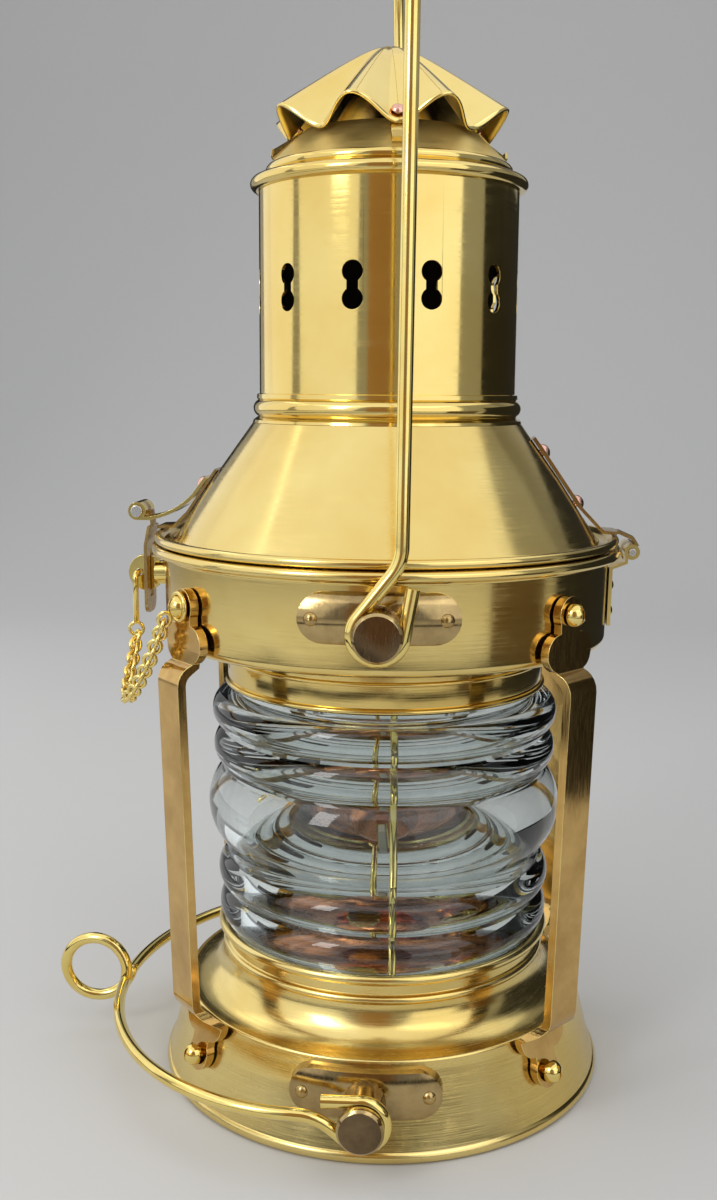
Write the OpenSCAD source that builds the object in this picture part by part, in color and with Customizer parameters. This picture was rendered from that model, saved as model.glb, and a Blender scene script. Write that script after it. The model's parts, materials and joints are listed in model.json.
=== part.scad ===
// Brass anchor lamp: a ribbed glass between a spun base and a hinged chimney lid,
// with strap guards, two wire bails, a hasp with its lock pin, and an oil font with a flat wick burner.
// The origin is the centre of the flat underside. The bail studs lie along Y and the lid opens towards +X.

/* [Base] */
// Outer radius of the rolled foot
foot_r = 80; // [78:0.5:83]
// Radius of the bead rolled into the foot
foot_bead = 2.2; // [1.6:0.1:2.8]
// Radius of the deck edge
deck_r = 71.5; // [70:0.5:74]
// Height of the deck edge
deck_z = 31.5; // [30:0.5:36]
// Rise of the deck from its edge to the glass collar
deck_rise = 12.5; // [10:0.5:15]
// Thickness of the spun brass sheet
sheet = 1.2; // [0.8:0.1:1.6]
// Thickness of the base plate
plate_t = 1.5; // [1:0.1:2.5]

/* [Glass] */
// Radius of the glass between its ribs, at mid height
glass_r = 57.5; // [56:0.5:60]
// Radius gained by the glass from its foot to its shoulder
glass_flare = 3; // [0:0.5:4]
// Radius of the bore of the glass
glass_bore = 51; // [50:0.5:52]
// Radius of the neck at the top of the glass
neck_r = 53.5; // [53:0.25:55]
// Height of the neck
neck_h = 9; // [6:0.5:12]
// Height of the plain foot of the glass
glass_foot_h = 8; // [6:0.5:10]
// Height of one rib
rib_h = 12; // [10:0.5:14]
// How far a rib stands out
rib_bulge = 3.4; // [2:0.2:4.5]
// Height of the wide belt
belt_h = 28; // [24:1:32]
// How far the belt stands out
belt_bulge = 6; // [4:0.25:7]
// Plain step between two ribs
rib_gap = 1.2; // [0.8:0.2:2]
// Plain step under the belt
belt_gap = 5; // [3:0.5:7]

/* [Band] */
// Radius of the band at its top
band_r = 78; // [77:0.25:78.5]
// How much the band narrows towards its foot
band_taper = 0.4; // [0:0.1:2]
// Height of the band
band_h = 30; // [28:0.5:34]
// How far the bead round the top of the band stands out
bead_out = 4.5; // [4:0.1:4.8]
// Half height of that bead
bead_h = 1.75; // [1.25:0.25:2]

/* [Lid] */
// How far the lid flange stays back from the bead
flange_in = 1; // [0.5:0.1:2]
// Height of the flange roll
flange_h = 3.2; // [2.4:0.2:4]
// How far the foot of the cone lies inside the band
cone_in = 4.8; // [3:0.2:7]
// Height of the cone
cone_h = 38; // [34:1:44]
// How far the cone bows outwards
cone_bow = 0.3; // [0.1:0.1:2]
// Depth of the spigot that drops into the band
spigot_h = 4.5; // [3:0.5:6]

/* [Chimney] */
// Outer radius of the chimney tube
chimney_r = 44.4; // [43.4:0.2:45]
// Height of the chimney above the cone
chimney_h = 78; // [70:1:90]
// Radius of the bead round the foot of the chimney
neck_bead = 3.2; // [2.4:0.2:4]
// Number of vents
vent_count = 11; // [7:1:13]
// Diameter of each round end of a vent
vent_d = 6.75; // [5:0.25:7.25]
// Distance between the two round ends
vent_pitch = 8.4; // [7.6:0.2:12]
// Width of the waist between them
vent_waist = 3.7; // [2:0.1:4.4]
// Height of the middle of the vents above the cone
vent_z = 44; // [36:1:52]
// Outer radius of the cap
cap_r = 47.3; // [47:0.1:48.4]
// Radius of the flue opening in the cap
flue_r = 29; // [24:0.5:30]
// Number of scallops in the crown
lobes = 8; // [8:4:12]
// Radius of the crown at its ridges
crown_r = 41; // [39:0.5:44]
// Radius of the crown in its valleys
valley_r = 34.5; // [33:0.5:36]
// Height of the crown from its valley tips to its top
crown_h = 30.5; // [28:0.5:31]
// Height of the crown's top above the chimney
crown_up = 47; // [46:0.5:50]
// Turn of the crown on the chimney
crown_turn = 8.4; // [-20:0.2:20]
// Thickness of the crown sheet
crown_t = 0.8; // [0.6:0.1:1]

/* [Guards] */
// Angle of the guards from the bail studs
guard_turn = 50; // [46:1:53]
// Width of a guard bar
guard_w = 14; // [12:0.5:16]
// Thickness of a guard strap
guard_t = 3; // [2.4:0.2:3.6]
// How far a guard bar stands out from the band at its top
guard_out = 9; // [7:0.5:12]
// How far a guard bar stands out from the deck edge at its foot
guard_low_out = 11.9; // [10.5:0.4:14.5]
// Height of the upper guard screws above the band floor
ear_up = 17; // [16:0.5:19]
// Height of the lower guard screws below the deck edge
ear_down = 11.5; // [10:0.5:13]
// Diameter of a guard screw head
screw_d = 7.4; // [6:0.2:8]
// Diameter of a guard screw shank
shank_d = 3.6; // [3:0.1:4]

/* [Lugs and bails] */
// Length of a lug casting
lug_l = 49.6; // [46:0.4:54]
// Height of a lug casting
lug_h = 16; // [15:0.5:18]
// Thickness of a lug casting at its middle
lug_t = 4.4; // [3.6:0.2:5]
// Turn of the upper lugs and the carry bail from the front
upper_turn = 2.4; // [-4:0.2:4]
// Diameter of the stud neck that a bail hooks round
stud_d = 10.4; // [9:0.2:10.8]
// Diameter of the stud head
head_d = 15; // [14:0.2:16]
// Length of the stud head
head_l = 4; // [3:0.2:6]
// Length of the base stud head
base_head_l = 2.8; // [2.2:0.2:5]
// Height of the upper studs above the band floor
stud_up = 16.4; // [15:0.2:18]
// Height of the base studs
base_stud_z = 20.8; // [20:0.2:21.4]
// How far an upper stud lies below the middle of its lug
stud_drop = 2.4; // [0:0.2:3]
// How far a base stud lies below the middle of its lug
base_stud_drop = 1.2; // [0:0.2:2]
// Rivet diameter
rivet_d = 4.4; // [3.6:0.2:5]
// Diameter of the copper rivets on the cone
copper_d = 5.4; // [4.6:0.2:6]
// Wire diameter of the carry bail
bail_wire = 4.4; // [4:0.1:5]
// Distance of the carry bail legs from the band
bail_out = 13.5; // [13:0.5:17]
// Length of the straight legs of the carry bail, above the studs
bail_leg = 191; // [188:1:230]
// Wire diameter of the downhaul bail
haul_wire = 4.2; // [3.6:0.1:4.6]
// Distance of the downhaul hooks from the lamp's middle
haul_y = 90.5; // [90:0.25:94]
// How far the downhaul bow reaches from the lamp's middle
haul_reach = 97; // [94:0.5:110]
// Radius of the finger loop at the middle of its wire
loop_r = 12.3; // [10:0.1:14]
// Height of the downhaul bow above its studs
haul_level = 2.2; // [0:0.2:4]

/* [Hinge and hasp] */
// Distance of the hinge pin from the bead
hinge_out = 3.1; // [3.1:0.1:4.5]
// Hinge pin diameter
pin_d = 2.6; // [2:0.1:3]
// Knuckle wall
knuckle_t = 1.3; // [1:0.1:1.4]
// Length of the hinge knuckles
hinge_l = 18; // [16:1:22]
// Thickness of the straps and leaves
leaf_t = 1.2; // [1:0.1:1.4]
// Diameter of the hasp pin
hasp_pin_d = 4.2; // [3.6:0.1:4.6]
// Distance of the hasp pin from the band
hasp_out = 10.4; // [10:0.2:12]
// Height of the hasp pin above the cone's foot
hasp_up = 6.2; // [5.6:0.2:7]
// Width of the hasp
hasp_w = 13; // [12:0.5:16]
// Length of the hasp below its pin
hasp_l = 37; // [36:0.5:40]
// Diameter of the staple eye
eye_d = 13; // [12:0.5:13.5]
// Thickness of the staple eye
eye_t = 2.6; // [2:0.2:3]
// Wire diameter of the lock pin
lock_wire = 2; // [1.6:0.1:2.2]

/* [Font and burner] */
// Radius of the oil font
font_r = 47.5; // [44:0.5:48]
// Height of the font's shoulder
font_h = 47; // [40:1:50]
// Turn of the font in the lamp
font_turn = 8; // [-20:0.5:20]
// Wire diameter of the font handle
handle_wire = 2.4; // [2:0.1:3]
// Height of the font handle
handle_top = 172; // [150:1:186]
// Radius of the burner
burner_r = 17; // [15:0.5:19]
// Width of the flat wick
wick_w = 14; // [10:0.5:16]
// Thickness of the wick
wick_t = 3; // [2:0.2:3.6]

/* [Hidden] */
$fn = 64;

// Clearances shared by the pieces
run_gap = 0.06;
seat_gap = 0.1;
move_gap = 0.3;

brass = [0.86, 0.68, 0.30];
filed = [0.70, 0.53, 0.24];
copper = [0.80, 0.50, 0.38];
steel = [0.78, 0.78, 0.76];
bronze = [0.42, 0.35, 0.24];
clear = [0.75, 0.85, 0.90, 0.35];

// Radii and distances that follow the band
bead_r = band_r + bead_out;
flange_r = bead_r - flange_in;
cone_r = band_r - cone_in;
guard_top_r = band_r + guard_out;
guard_low_r = deck_r + guard_low_out;
bail_y = band_r + bail_out;
hinge_x = bead_r + hinge_out;
hasp_x = band_r + hasp_out;

// Heights, stacked from the table upwards
collar_z = deck_z + deck_rise;
ledge_t = 2;
seat_z = collar_z + ledge_t;
shoulder_h = 2;
glass_h = glass_foot_h + 4 * rib_h + belt_h + 3 * rib_gap + belt_gap + shoulder_h + neck_h;
glass_top = seat_z + glass_h;
gallery_room = 9;
floor_z = glass_top + gallery_room;
band_top = floor_z + band_h;
bead_z = band_top + bead_h;
lid_z = bead_z + bead_h + move_gap;
cone_z = lid_z + flange_h;
neck_z = cone_z + cone_h;
chimney_top = neck_z + chimney_h;
upper_stud_z = floor_z + stud_up;
upper_screw_z = floor_z + ear_up;
lower_screw_z = deck_z - ear_down;
hinge_z = bead_z;
hasp_z = cone_z + hasp_up;
collar_r = glass_r - 0.3;
crown_top = chimney_top + crown_up;
cone_top_r = chimney_r + 2.4;
gallery_wall = 2.4;

// Points of an arc in the plane
function arc(cx, cz, r, a0, a1, n) =
    [for (i = [0:n]) let (a = a0 + (a1 - a0) * i / n) [cx + r * cos(a), cz + r * sin(a)]];
// Points of a bow from p to q that stands out by s on the right of its way
function bow(p, q, s, n) =
    let (d = q - p, l = norm(d), rad = (l * l / 4 + s * s) / (2 * s), half = asin(l / 2 / rad),
        out = [d[1], -d[0]] / l, c = (p + q) / 2 + out * (s - rad), mid = atan2(out[1], out[0]))
    arc(c[0], c[1], rad, mid - half, mid + half, n);
// A strip of thickness t laid along the left of a path
function strip(path, t) =
    let (n = len(path) - 1)
    concat(path, [for (i = [n:-1:0])
        let (a = path[max(i - 1, 0)], b = path[min(i + 1, n)], d = (b - a) / norm(b - a))
        path[i] + t * [-d[1], d[0]]]);
function lerp(a, b, k) = a + (b - a) * k;
function sum_to(v, i) = i < 0 ? 0 : v[i] + sum_to(v, i - 1);
// Radius of the base wall, of the band and of the cone at a height
foot_wall_z = 2 * foot_bead;
function wall_r(z) = lerp(foot_r - foot_bead, deck_r, (z - foot_wall_z) / (deck_z - foot_wall_z));
function band_at(z) = band_r - band_taper * (band_top - z) / band_h;
function cone_at(z) = lerp(cone_r, cone_top_r, (z - cone_z) / cone_h)
    + cone_bow * 1.2 * (1 - pow(2 * (z - cone_z) / cone_h - 1, 2));

// Shape helpers
module revolve() { rotate_extrude($fn = 120) children(); }
module about(a) { rotate([0, 0, a]) children(); }
module along_y(l) { rotate([-90, 0, 0]) linear_extrude(l) children(); }
// Lays a profile of radius and height in the plane y = 0 and gives it the width w
module radial_plate(w) { translate([0, w / 2, 0]) rotate([90, 0, 0]) linear_extrude(w) children(); }
// Looks at a piece from outside: x runs along the wall, y upwards, and the cut goes from radius r0 to r1
module outline_cut(r0, r1) { translate([r0, 0, 0]) rotate([90, 0, 90]) linear_extrude(r1 - r0) children(); }
// A wire bend in the plane of x and z, about a centre, from angle a0 to a1
module wire_bend(c, rad, a0, a1, d) {
    translate([c[0], 0, c[1]]) rotate([90, 0, 0]) rotate([0, 0, a0])
        rotate_extrude(angle = a1 - a0, $fn = 96) translate([rad, 0]) circle(d = d, $fn = 32);
}
// A straight wire between two points
module wire(p, q, d) {
    v = q - p;
    translate(p) rotate([0, acos(v[2] / norm(v)), atan2(v[1], v[0])]) cylinder(d = d, h = norm(v), $fn = 32);
}
// A half ball on the end of a wire, at p and pointing the way v
module wire_end(p, v, d) {
    translate(p) rotate([0, acos(v[2] / norm(v)), atan2(v[1], v[0])])
        rotate_extrude($fn = 48) intersection() {
        circle(d = d, $fn = 48);
        square(d);
    }
}
module ring(rad, d) { rotate_extrude($fn = 64) translate([rad, 0]) circle(d = d, $fn = 32); }
// A domed head of diameter d and height h on a flat seat
module dome(d, h) {
    rad = (d * d / 4 + h * h) / (2 * h);
    intersection() {
        translate([0, 0, h - rad]) sphere(r = rad, $fn = 64);
        cylinder(d = d + 2, h = h + 1);
    }
}
// Puts a piece that points along +Z onto a wall, pointing outwards at radius r, height z and angle a
module on_wall(a, r, z, lean = 0) { about(a) translate([r, 0, z]) rotate([0, 90 + lean, 0]) children(); }
module radial_hole(a, z, d, r0, r1) {
    about(a) translate([r0, 0, z]) rotate([0, 90, 0]) cylinder(d = d, h = r1 - r0);
}

// Base
guard_angles = [270 - guard_turn, 270 + guard_turn, 90 + guard_turn, 90 - guard_turn];
wall_lean = atan((foot_r - foot_bead - deck_r) / (deck_z - foot_wall_z));
band_lean = atan(band_taper / band_h);
hole_gap = 0.1;
lug_half = lug_l / 2 - lug_h / 3;
function rivet_angle(r) = asin(lug_half / r);
upper_lug_rad = 12;
base_lug_rad = 22;
upper_lug_z = upper_stud_z + stud_drop;
base_lug_z = base_stud_z + base_stud_drop;

module base_pan() {
    deck_n = 12;
    deck = [for (i = [0:deck_n]) let (a = 90 * i / deck_n)
        [lerp(deck_r, collar_r, sin(a)), deck_z + deck_rise * (1 - cos(a))]];
    color(brass) difference() {
        revolve() {
            translate([foot_r - foot_bead, foot_bead]) circle(r = foot_bead, $fn = 48);
            polygon(strip([[foot_r - foot_bead, foot_wall_z - sheet], [foot_r - foot_bead, foot_wall_z],
                [deck_r, deck_z]], sheet));
            translate([deck_r - sheet / 2, deck_z - sheet / 2]) circle(r = sheet * 0.8, $fn = 32);
            polygon(strip(deck, sheet));
            translate([collar_r - 2 * sheet, collar_z - sheet]) square([sheet * 1.4, sheet]);
        }
        for (a = guard_angles) radial_hole(a, lower_screw_z, shank_d + 2 * hole_gap, deck_r - 4, foot_r + 4);
        for (side = [-90, 90], k = [-1, 1])
            radial_hole(side + k * rivet_angle(wall_r(base_lug_z)), base_lug_z, rivet_d * 0.6 + 2 * hole_gap,
                deck_r - 4, foot_r + 4);
    }
}

module base_plate() {
    color(brass) cylinder(r = foot_r - 2 * foot_bead - seat_gap, h = plate_t, $fn = 120);
}

module font_seat() {
    clip_h = 8;
    clip_r = font_r + 0.5;
    color(brass) revolve() {
        translate([clip_r, plate_t]) square([sheet, clip_h]);
        translate([clip_r, plate_t]) square([4, sheet]);
    }
}

module lower_gallery() {
    bed_r = glass_foot_r + 0.4;
    wall_out = bed_r + 1.4;
    rim = 1.8;
    step = 1.5;
    rim_z = seat_z + glass_foot_h - 0.8;
    color(brass) revolve() {
        translate([glass_bore, collar_z]) square([wall_out - glass_bore, ledge_t]);
        translate([bed_r, collar_z]) square([wall_out - bed_r, rim_z - collar_z]);
        translate([wall_out + 1.3, rim_z - 0.2]) circle(r = rim, $fn = 48);
        translate([wall_out + 0.1, collar_z + step]) circle(r = step, $fn = 48);
    }
}

// Glass
glass_foot_r = glass_r - glass_flare / 2 - 0.6;
rib_steps = [glass_foot_h, rib_gap, belt_gap, rib_gap, rib_gap];
rib_heights = [rib_h, rib_h, belt_h, rib_h, rib_h];
rib_bulges = [rib_bulge, rib_bulge, belt_bulge, rib_bulge, rib_bulge];
function rib_low(i) = seat_z + sum_to(rib_steps, i) + sum_to(rib_heights, i - 1);
function glass_at(z) = glass_r + glass_flare * ((z - seat_z) / glass_h - 0.5);
function rib_pts(i) =
    let (z0 = rib_low(i), z1 = z0 + rib_heights[i])
    bow([glass_at(z0), z0], [glass_at(z1), z1], rib_bulges[i], 10);

module glass_lens() {
    neck_z0 = glass_top - neck_h;
    outside = concat(
        [[glass_bore, seat_z], [glass_foot_r, seat_z], [glass_foot_r, seat_z + glass_foot_h - 1]],
        [for (i = [0:4]) each rib_pts(i)],
        [[neck_r, neck_z0], [neck_r, glass_top], [glass_bore, glass_top]]);
    color(clear) revolve() polygon(outside);
}

module upper_gallery() {
    bed_r = neck_r + 0.4;
    wall_out = bed_r + gallery_wall;
    low_z = glass_top - neck_h + 1.5;
    stop_z = glass_top + 0.5;
    rim = 1;
    color(brass) revolve() {
        translate([bed_r, low_z]) square([wall_out - bed_r, floor_z + 2 * sheet - low_z]);
        translate([glass_bore, stop_z]) square([wall_out - glass_bore, sheet]);
        translate([wall_out, low_z + rim]) circle(r = rim, $fn = 32);
        translate([wall_out, stop_z + 2]) circle(r = rim * 0.7, $fn = 32);
        translate([bed_r, floor_z + sheet]) square([wall_out - bed_r + 4, sheet]);
    }
}

// Band
floor_bore = neck_r + 0.4 + gallery_wall + seat_gap;
module top_band() {
    foot_arc = 3;
    low_r = band_at(floor_z);
    color(brass) difference() {
        revolve() {
            polygon(strip(concat([[floor_bore, floor_z], [low_r - foot_arc, floor_z]],
                arc(low_r - foot_arc, floor_z + foot_arc, foot_arc, -75, 0, 5),
                [[band_r, band_top]]), sheet));
            translate([band_r - sheet, band_top - sheet])
                square([bead_r - bead_h - band_r + sheet, sheet * 1.5]);
            translate([bead_r - bead_h, bead_z]) circle(r = bead_h, $fn = 48);
        }
        for (a = guard_angles) radial_hole(a, upper_screw_z, shank_d + 2 * hole_gap, band_r - 8, band_r + 4);
        for (side = [-90, 90], k = [-1, 1])
            radial_hole(side + upper_turn + k * rivet_angle(band_at(upper_lug_z)), upper_lug_z,
                rivet_d * 0.6 + 2 * hole_gap, band_r - 8, band_r + 4);
        radial_hole(180, staple_z, staple_tail + 2 * hole_gap, band_r - 8, band_r + 4);
        for (z = leaf_rivet_z) radial_hole(0, z, rivet_d * 0.6 + 2 * hole_gap, band_r - 8, band_r + 4);
    }
}

// Guards
ear_r = 5.8;
lobe_r = 6.2;
lobe_drop = 12;
bar_top = floor_z - 8;
bar_low = deck_z + 10.5;
bend = 4;
module guard_profile() {
    up_r = band_at(upper_screw_z) + 0.55;
    down_r = wall_r(lower_screw_z) + 0.55;
    inner_top = guard_top_r - guard_t;
    inner_low = guard_low_r - guard_t;
    ear_foot = floor_z - 2.5;
    low_ear_z = deck_z + 3;
    path = concat(
        [[down_r + ear_r * 1.2 * tan(wall_lean), lower_screw_z - ear_r * 1.2],
            [wall_r(deck_z) + 0.55, low_ear_z - 2]],
        arc(inner_low - bend, bar_low - 0.5, bend + 0.01, -55, 0, 4),
        arc(inner_top - bend, bar_top, bend, 0, 62, 4),
        [[band_at(floor_z) + 1.4, ear_foot], [band_at(floor_z + 3) + 0.55, floor_z + 3]],
        [[up_r + ear_r * 1.2 * tan(band_lean), upper_screw_z + ear_r * 1.2]]);
    polygon([for (p = strip(path, -guard_t)) p]);
}

module guard_outline() {
    for (end = [[upper_screw_z, -1], [lower_screw_z, 1]]) {
        lobe_z = end[0] + end[1] * lobe_drop;
        translate([0, end[0]]) circle(r = ear_r, $fn = 48);
        translate([-ear_r * 0.86, min(end[0], lobe_z)]) square([ear_r * 1.72, lobe_drop]);
        for (k = [-1, 1]) translate([k * (lobe_r - 1), lobe_z]) circle(r = lobe_r, $fn = 48);
    }
    low = lower_screw_z + lobe_drop;
    translate([-guard_w / 2, low]) square([guard_w, upper_screw_z - lobe_drop - low]);
}

module guard(a) {
    span = 2 * (2 * lobe_r);
    color(filed) about(a) difference() {
        intersection() {
            radial_plate(span) guard_profile();
            outline_cut(deck_r - 6, guard_top_r + 6) guard_outline();
        }
        for (z = [upper_screw_z, lower_screw_z])
            translate([deck_r - 8, 0, z]) rotate([0, 90, 0]) cylinder(d = shank_d + 2 * hole_gap, h = 40);
    }
}

module guard_screw(a, r, z) {
    head_h = screw_d * 0.45;
    collar_h = 0.8;
    shank_l = guard_t + 3.2;
    slot_w = 0.9;
    on_wall(a, r, z) difference() {
        union() {
            cylinder(d = screw_d, h = collar_h);
            translate([0, 0, collar_h]) dome(screw_d, head_h);
            translate([0, 0, -shank_l]) cylinder(d = shank_d, h = shank_l + 0.1);
        }
        translate([-screw_d, -slot_w / 2, collar_h + head_h * 0.6]) cube([2 * screw_d, slot_w, head_h]);
    }
}

module guard_screws() {
    up_r = band_at(upper_screw_z) + 0.55 + guard_t + 0.55;
    down_r = wall_r(lower_screw_z) + 0.55 + guard_t + 1.25;
    color(brass) for (a = guard_angles) {
        guard_screw(a, up_r, upper_screw_z);
        guard_screw(a, down_r, lower_screw_z);
    }
}

// Lugs
module lug_plan() {
    end_r = lug_h / 2;
    for (k = [-1, 1]) translate([k * (lug_l / 2 - end_r), 0]) circle(r = end_r, $fn = 64);
    square([lug_l - 2 * end_r, lug_h], center = true);
}

// A lug on a wall of radius r0 at its lower edge and r1 at its upper edge,
// with its stud out to the hook plane
module lug(side, z, r0, r1, crown_rad, drop, hook_y, wire_d, end_l) {
    mid = (r0 + r1) / 2;
    neck_l = wire_d + 1;
    neck_y = hook_y - neck_l / 2;
    boss_foot = stud_d / 2 + 2;
    boss_y = mid + lug_t - 3;
    color(filed) about(side) difference() {
        union() {
            intersection() {
                translate([0, 0, z]) outline_cut(mid - 20, mid + lug_t + 6) lug_plan();
                revolve() difference() {
                    translate([mid + lug_t - crown_rad, z]) circle(r = crown_rad, $fn = 96);
                    polygon([[0, z - 30], [lerp(r0, r1, -30 / lug_h + 0.5) + seat_gap, z - 30],
                        [lerp(r0, r1, 30 / lug_h + 0.5) + seat_gap, z + 30], [0, z + 30]]);
                }
            }
            translate([boss_y, 0, z - drop]) rotate([0, 90, 0]) {
                cylinder(r1 = boss_foot, r2 = stud_d / 2 + 0.8, h = neck_y - boss_y);
                cylinder(d = stud_d, h = neck_y + neck_l - boss_y + 0.5);
            }
            translate([neck_y + neck_l, 0, z - drop]) rotate([0, 90, 0]) {
                cylinder(d = head_d, h = end_l - 0.8);
                translate([0, 0, end_l - 0.8]) cylinder(d1 = head_d, d2 = head_d - 1.6, h = 0.8);
            }
        }
        for (k = [-1, 1])
            about(k * rivet_angle(mid)) translate([mid - 10, 0, z]) rotate([0, 90, 0])
                cylinder(d = rivet_d * 0.6 + 2 * hole_gap, h = 40);
    }
}

module upper_lug(side) {
    lug(side + upper_turn, upper_lug_z, band_at(upper_lug_z - lug_h / 2), band_at(upper_lug_z + lug_h / 2),
        upper_lug_rad, stud_drop, bail_y, bail_wire, head_l);
}
module base_lug(side) {
    lug(side, base_lug_z, wall_r(base_lug_z - lug_h / 2), wall_r(base_lug_z + lug_h / 2), base_lug_rad,
        base_stud_drop,
        haul_y, haul_wire, base_head_l);
}

// A rivet whose head sits on the outside of a piece of thickness t against a wall of radius r
module rivet(a, r, z, t, lean = 0, d = rivet_d) {
    on_wall(a, r, z, lean) {
        translate([0, 0, t]) dome(d, d * 0.3);
        translate([0, 0, -2]) cylinder(d = rivet_d * 0.6, h = t + 2.1);
    }
}

module lug_rivets() {
    seat = lug_t + 0.05;
    color(bronze) for (side = [-90, 90], k = [-1, 1]) {
        rivet(side + upper_turn + k * rivet_angle(band_at(upper_lug_z)),
            band_at(upper_lug_z), upper_lug_z, seat);
        rivet(side + k * rivet_angle(wall_r(base_lug_z)), wall_r(base_lug_z), base_lug_z, seat);
    }
}

// Bails
hook_slack = 0.2;
// A round wire swept along a list of points, with its cross section carried along without twist
function unit(v) = v / norm(v);
function way(p, i) = unit(p[min(i + 1, len(p) - 1)] - p[max(i - 1, 0)]);
function carried(n, t) = unit(n - (n * t) * t);
function frames(p, n, i = 0, done = []) =
    i == len(p) ? done : let (m = carried(n, way(p, i))) frames(p, m, i + 1, concat(done, [m]));
module swept_wire(p, d, sides, first) {
    f = frames(p, first);
    n = len(p);
    pts = [for (i = [0:n - 1], j = [0:sides - 1])
        let (a = 360 * j / sides, b = cross(way(p, i), f[i])) p[i] + d / 2 * (cos(a) * f[i] + sin(a) * b)];
    walls = [for (i = [0:n - 2], j = [0:sides - 1]) let (k = (j + 1) % sides)
        [i * sides + j, i * sides + k, (i + 1) * sides + k, (i + 1) * sides + j]];
    ends = [[for (j = [sides - 1:-1:0]) j], [for (j = [0:sides - 1]) (n - 1) * sides + j]];
    polyhedron(points = pts,
        faces = [for (face = concat(walls, ends)) [for (k = [len(face) - 1:-1:0]) face[k]]]);
}

// One arm of the carry bail, from the tip of its hook to the top of its straight leg
hook_r = stud_d / 2 + hook_slack + bail_wire / 2;
hook_slant = 38;
tip_lean = 10;
tip_l = 15.3;
bend_r = 14;
leg_x = hook_r - 0.8;
front_lean = 0.45;
rear_lean = -1.7;
hook_start = hook_r * [-cos(hook_slant), sin(hook_slant)];
hook_run = (leg_x + hook_r * cos(hook_slant)) / sin(hook_slant);
hook_corner = hook_start + hook_run * [sin(hook_slant), cos(hook_slant)];
bend_z = hook_corner[1] + bend_r * tan(hook_slant / 2);
function tip_at(l) = hook_r * [cos(tip_lean), -sin(tip_lean)] + l * [sin(tip_lean), cos(tip_lean)];
function carry_arm() = concat(
    [tip_at(tip_l), tip_at(tip_l / 2)],
    arc(0, 0, hook_r, 360 - tip_lean, 180 - hook_slant, 16),
    arc(leg_x - bend_r, bend_z, bend_r, -hook_slant, 0, 5),
    [[leg_x, bail_leg * 0.5], [leg_x, bail_leg]]);
function arch_pts() = [for (a = [7.5:7.5:172.5]) [leg_x, -bail_y * cos(a), bail_leg + bail_y * sin(a)]];
// The bail has been sprung a little: each leg leans from its bend up,
// and the arch goes from one lean to the other
function sprung(p) =
    let (lean = lerp(front_lean, rear_lean, (p[1] + bail_y) / 2 / bail_y))
    p + max(p[2] - bend_z, 0) * tan(lean) * [1, 0, 0];
function in_plane(p, y) = [for (q = p) [q[0], y, q[1]]];
function reversed(p) = [for (i = [len(p) - 1:-1:0]) p[i]];
module carry_bail() {
    route = concat(in_plane(carry_arm(), -bail_y), arch_pts(), reversed(in_plane(carry_arm(), bail_y)));
    color(brass) translate([0, 0, upper_stud_z]) about(upper_turn)
        swept_wire([for (p = route) sprung(p)], bail_wire, 12, [0, 1, 0]);
}

// The downhaul bail, with the base studs' line as its axis
haul_hook_r = stud_d / 2 + hook_slack + haul_wire / 2;
haul_leave = 228;
haul_mid = 20;
haul_tip = 12.5;
loop_half = 5;
loop_rise = 2.9;
loop_dip = asin(loop_rise / loop_r);
function smooth(u) = u * u * (3 - 2 * u);
function loop_pts() = [for (i = [0:32]) let (u = i / 32, a = 360 * smooth(u) - loop_dip)
    [-haul_reach + loop_r * (cos(a) - cos(loop_dip)), lerp(-loop_half, loop_half, u),
        haul_level + loop_rise + loop_r * sin(a)]];
// The S bend from the hook up to the level of the bow
function haul_rise(u) =
    let (p = haul_hook_r * [cos(haul_leave), sin(haul_leave)], q = [-haul_mid - 1, haul_level],
        b = p + 7 * [sin(haul_leave), -cos(haul_leave)], c = q + [7, 0], v = 1 - u)
    v * v * v * p + 3 * v * v * u * b + 3 * v * u * u * c + u * u * u * q;
// One arm from the tip of its hook to the finger loop
function haul_arm(side) = concat(
    [[-haul_tip, side * haul_y, haul_hook_r - 0.4]],
    [for (i = [0:14]) let (a = lerp(462, haul_leave, i / 14))
        [haul_hook_r * cos(a), side * haul_y, haul_hook_r * sin(a)]],
    [for (u = [0.25:0.25:0.75]) let (q = haul_rise(u)) [q[0], side * haul_y, q[1]]],
    [for (i = [0:15]) let (a = lerp(88, 4.5, i / 15))
        [-haul_mid - (haul_reach - haul_mid) * cos(a), side * haul_y * sin(a), haul_level]]);
module downhaul_bail() {
    route = concat(haul_arm(-1), loop_pts(), reversed(haul_arm(1)));
    color(brass) translate([0, 0, base_stud_z]) swept_wire(route, haul_wire, 12, [0, 1, 0]);
}

// Lid hinge
knuckle_r = pin_d / 2 + run_gap + knuckle_t;
leaf_foot = floor_z + 6;
leaf_rivet_z = [floor_z + 10, floor_z + 19];
module knuckle(x, z, y0, y1, bore, rad) {
    translate([x, y0, z]) along_y(y1 - y0) difference() {
        circle(r = rad, $fn = 48);
        circle(r = bore, $fn = 48);
    }
}

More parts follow.
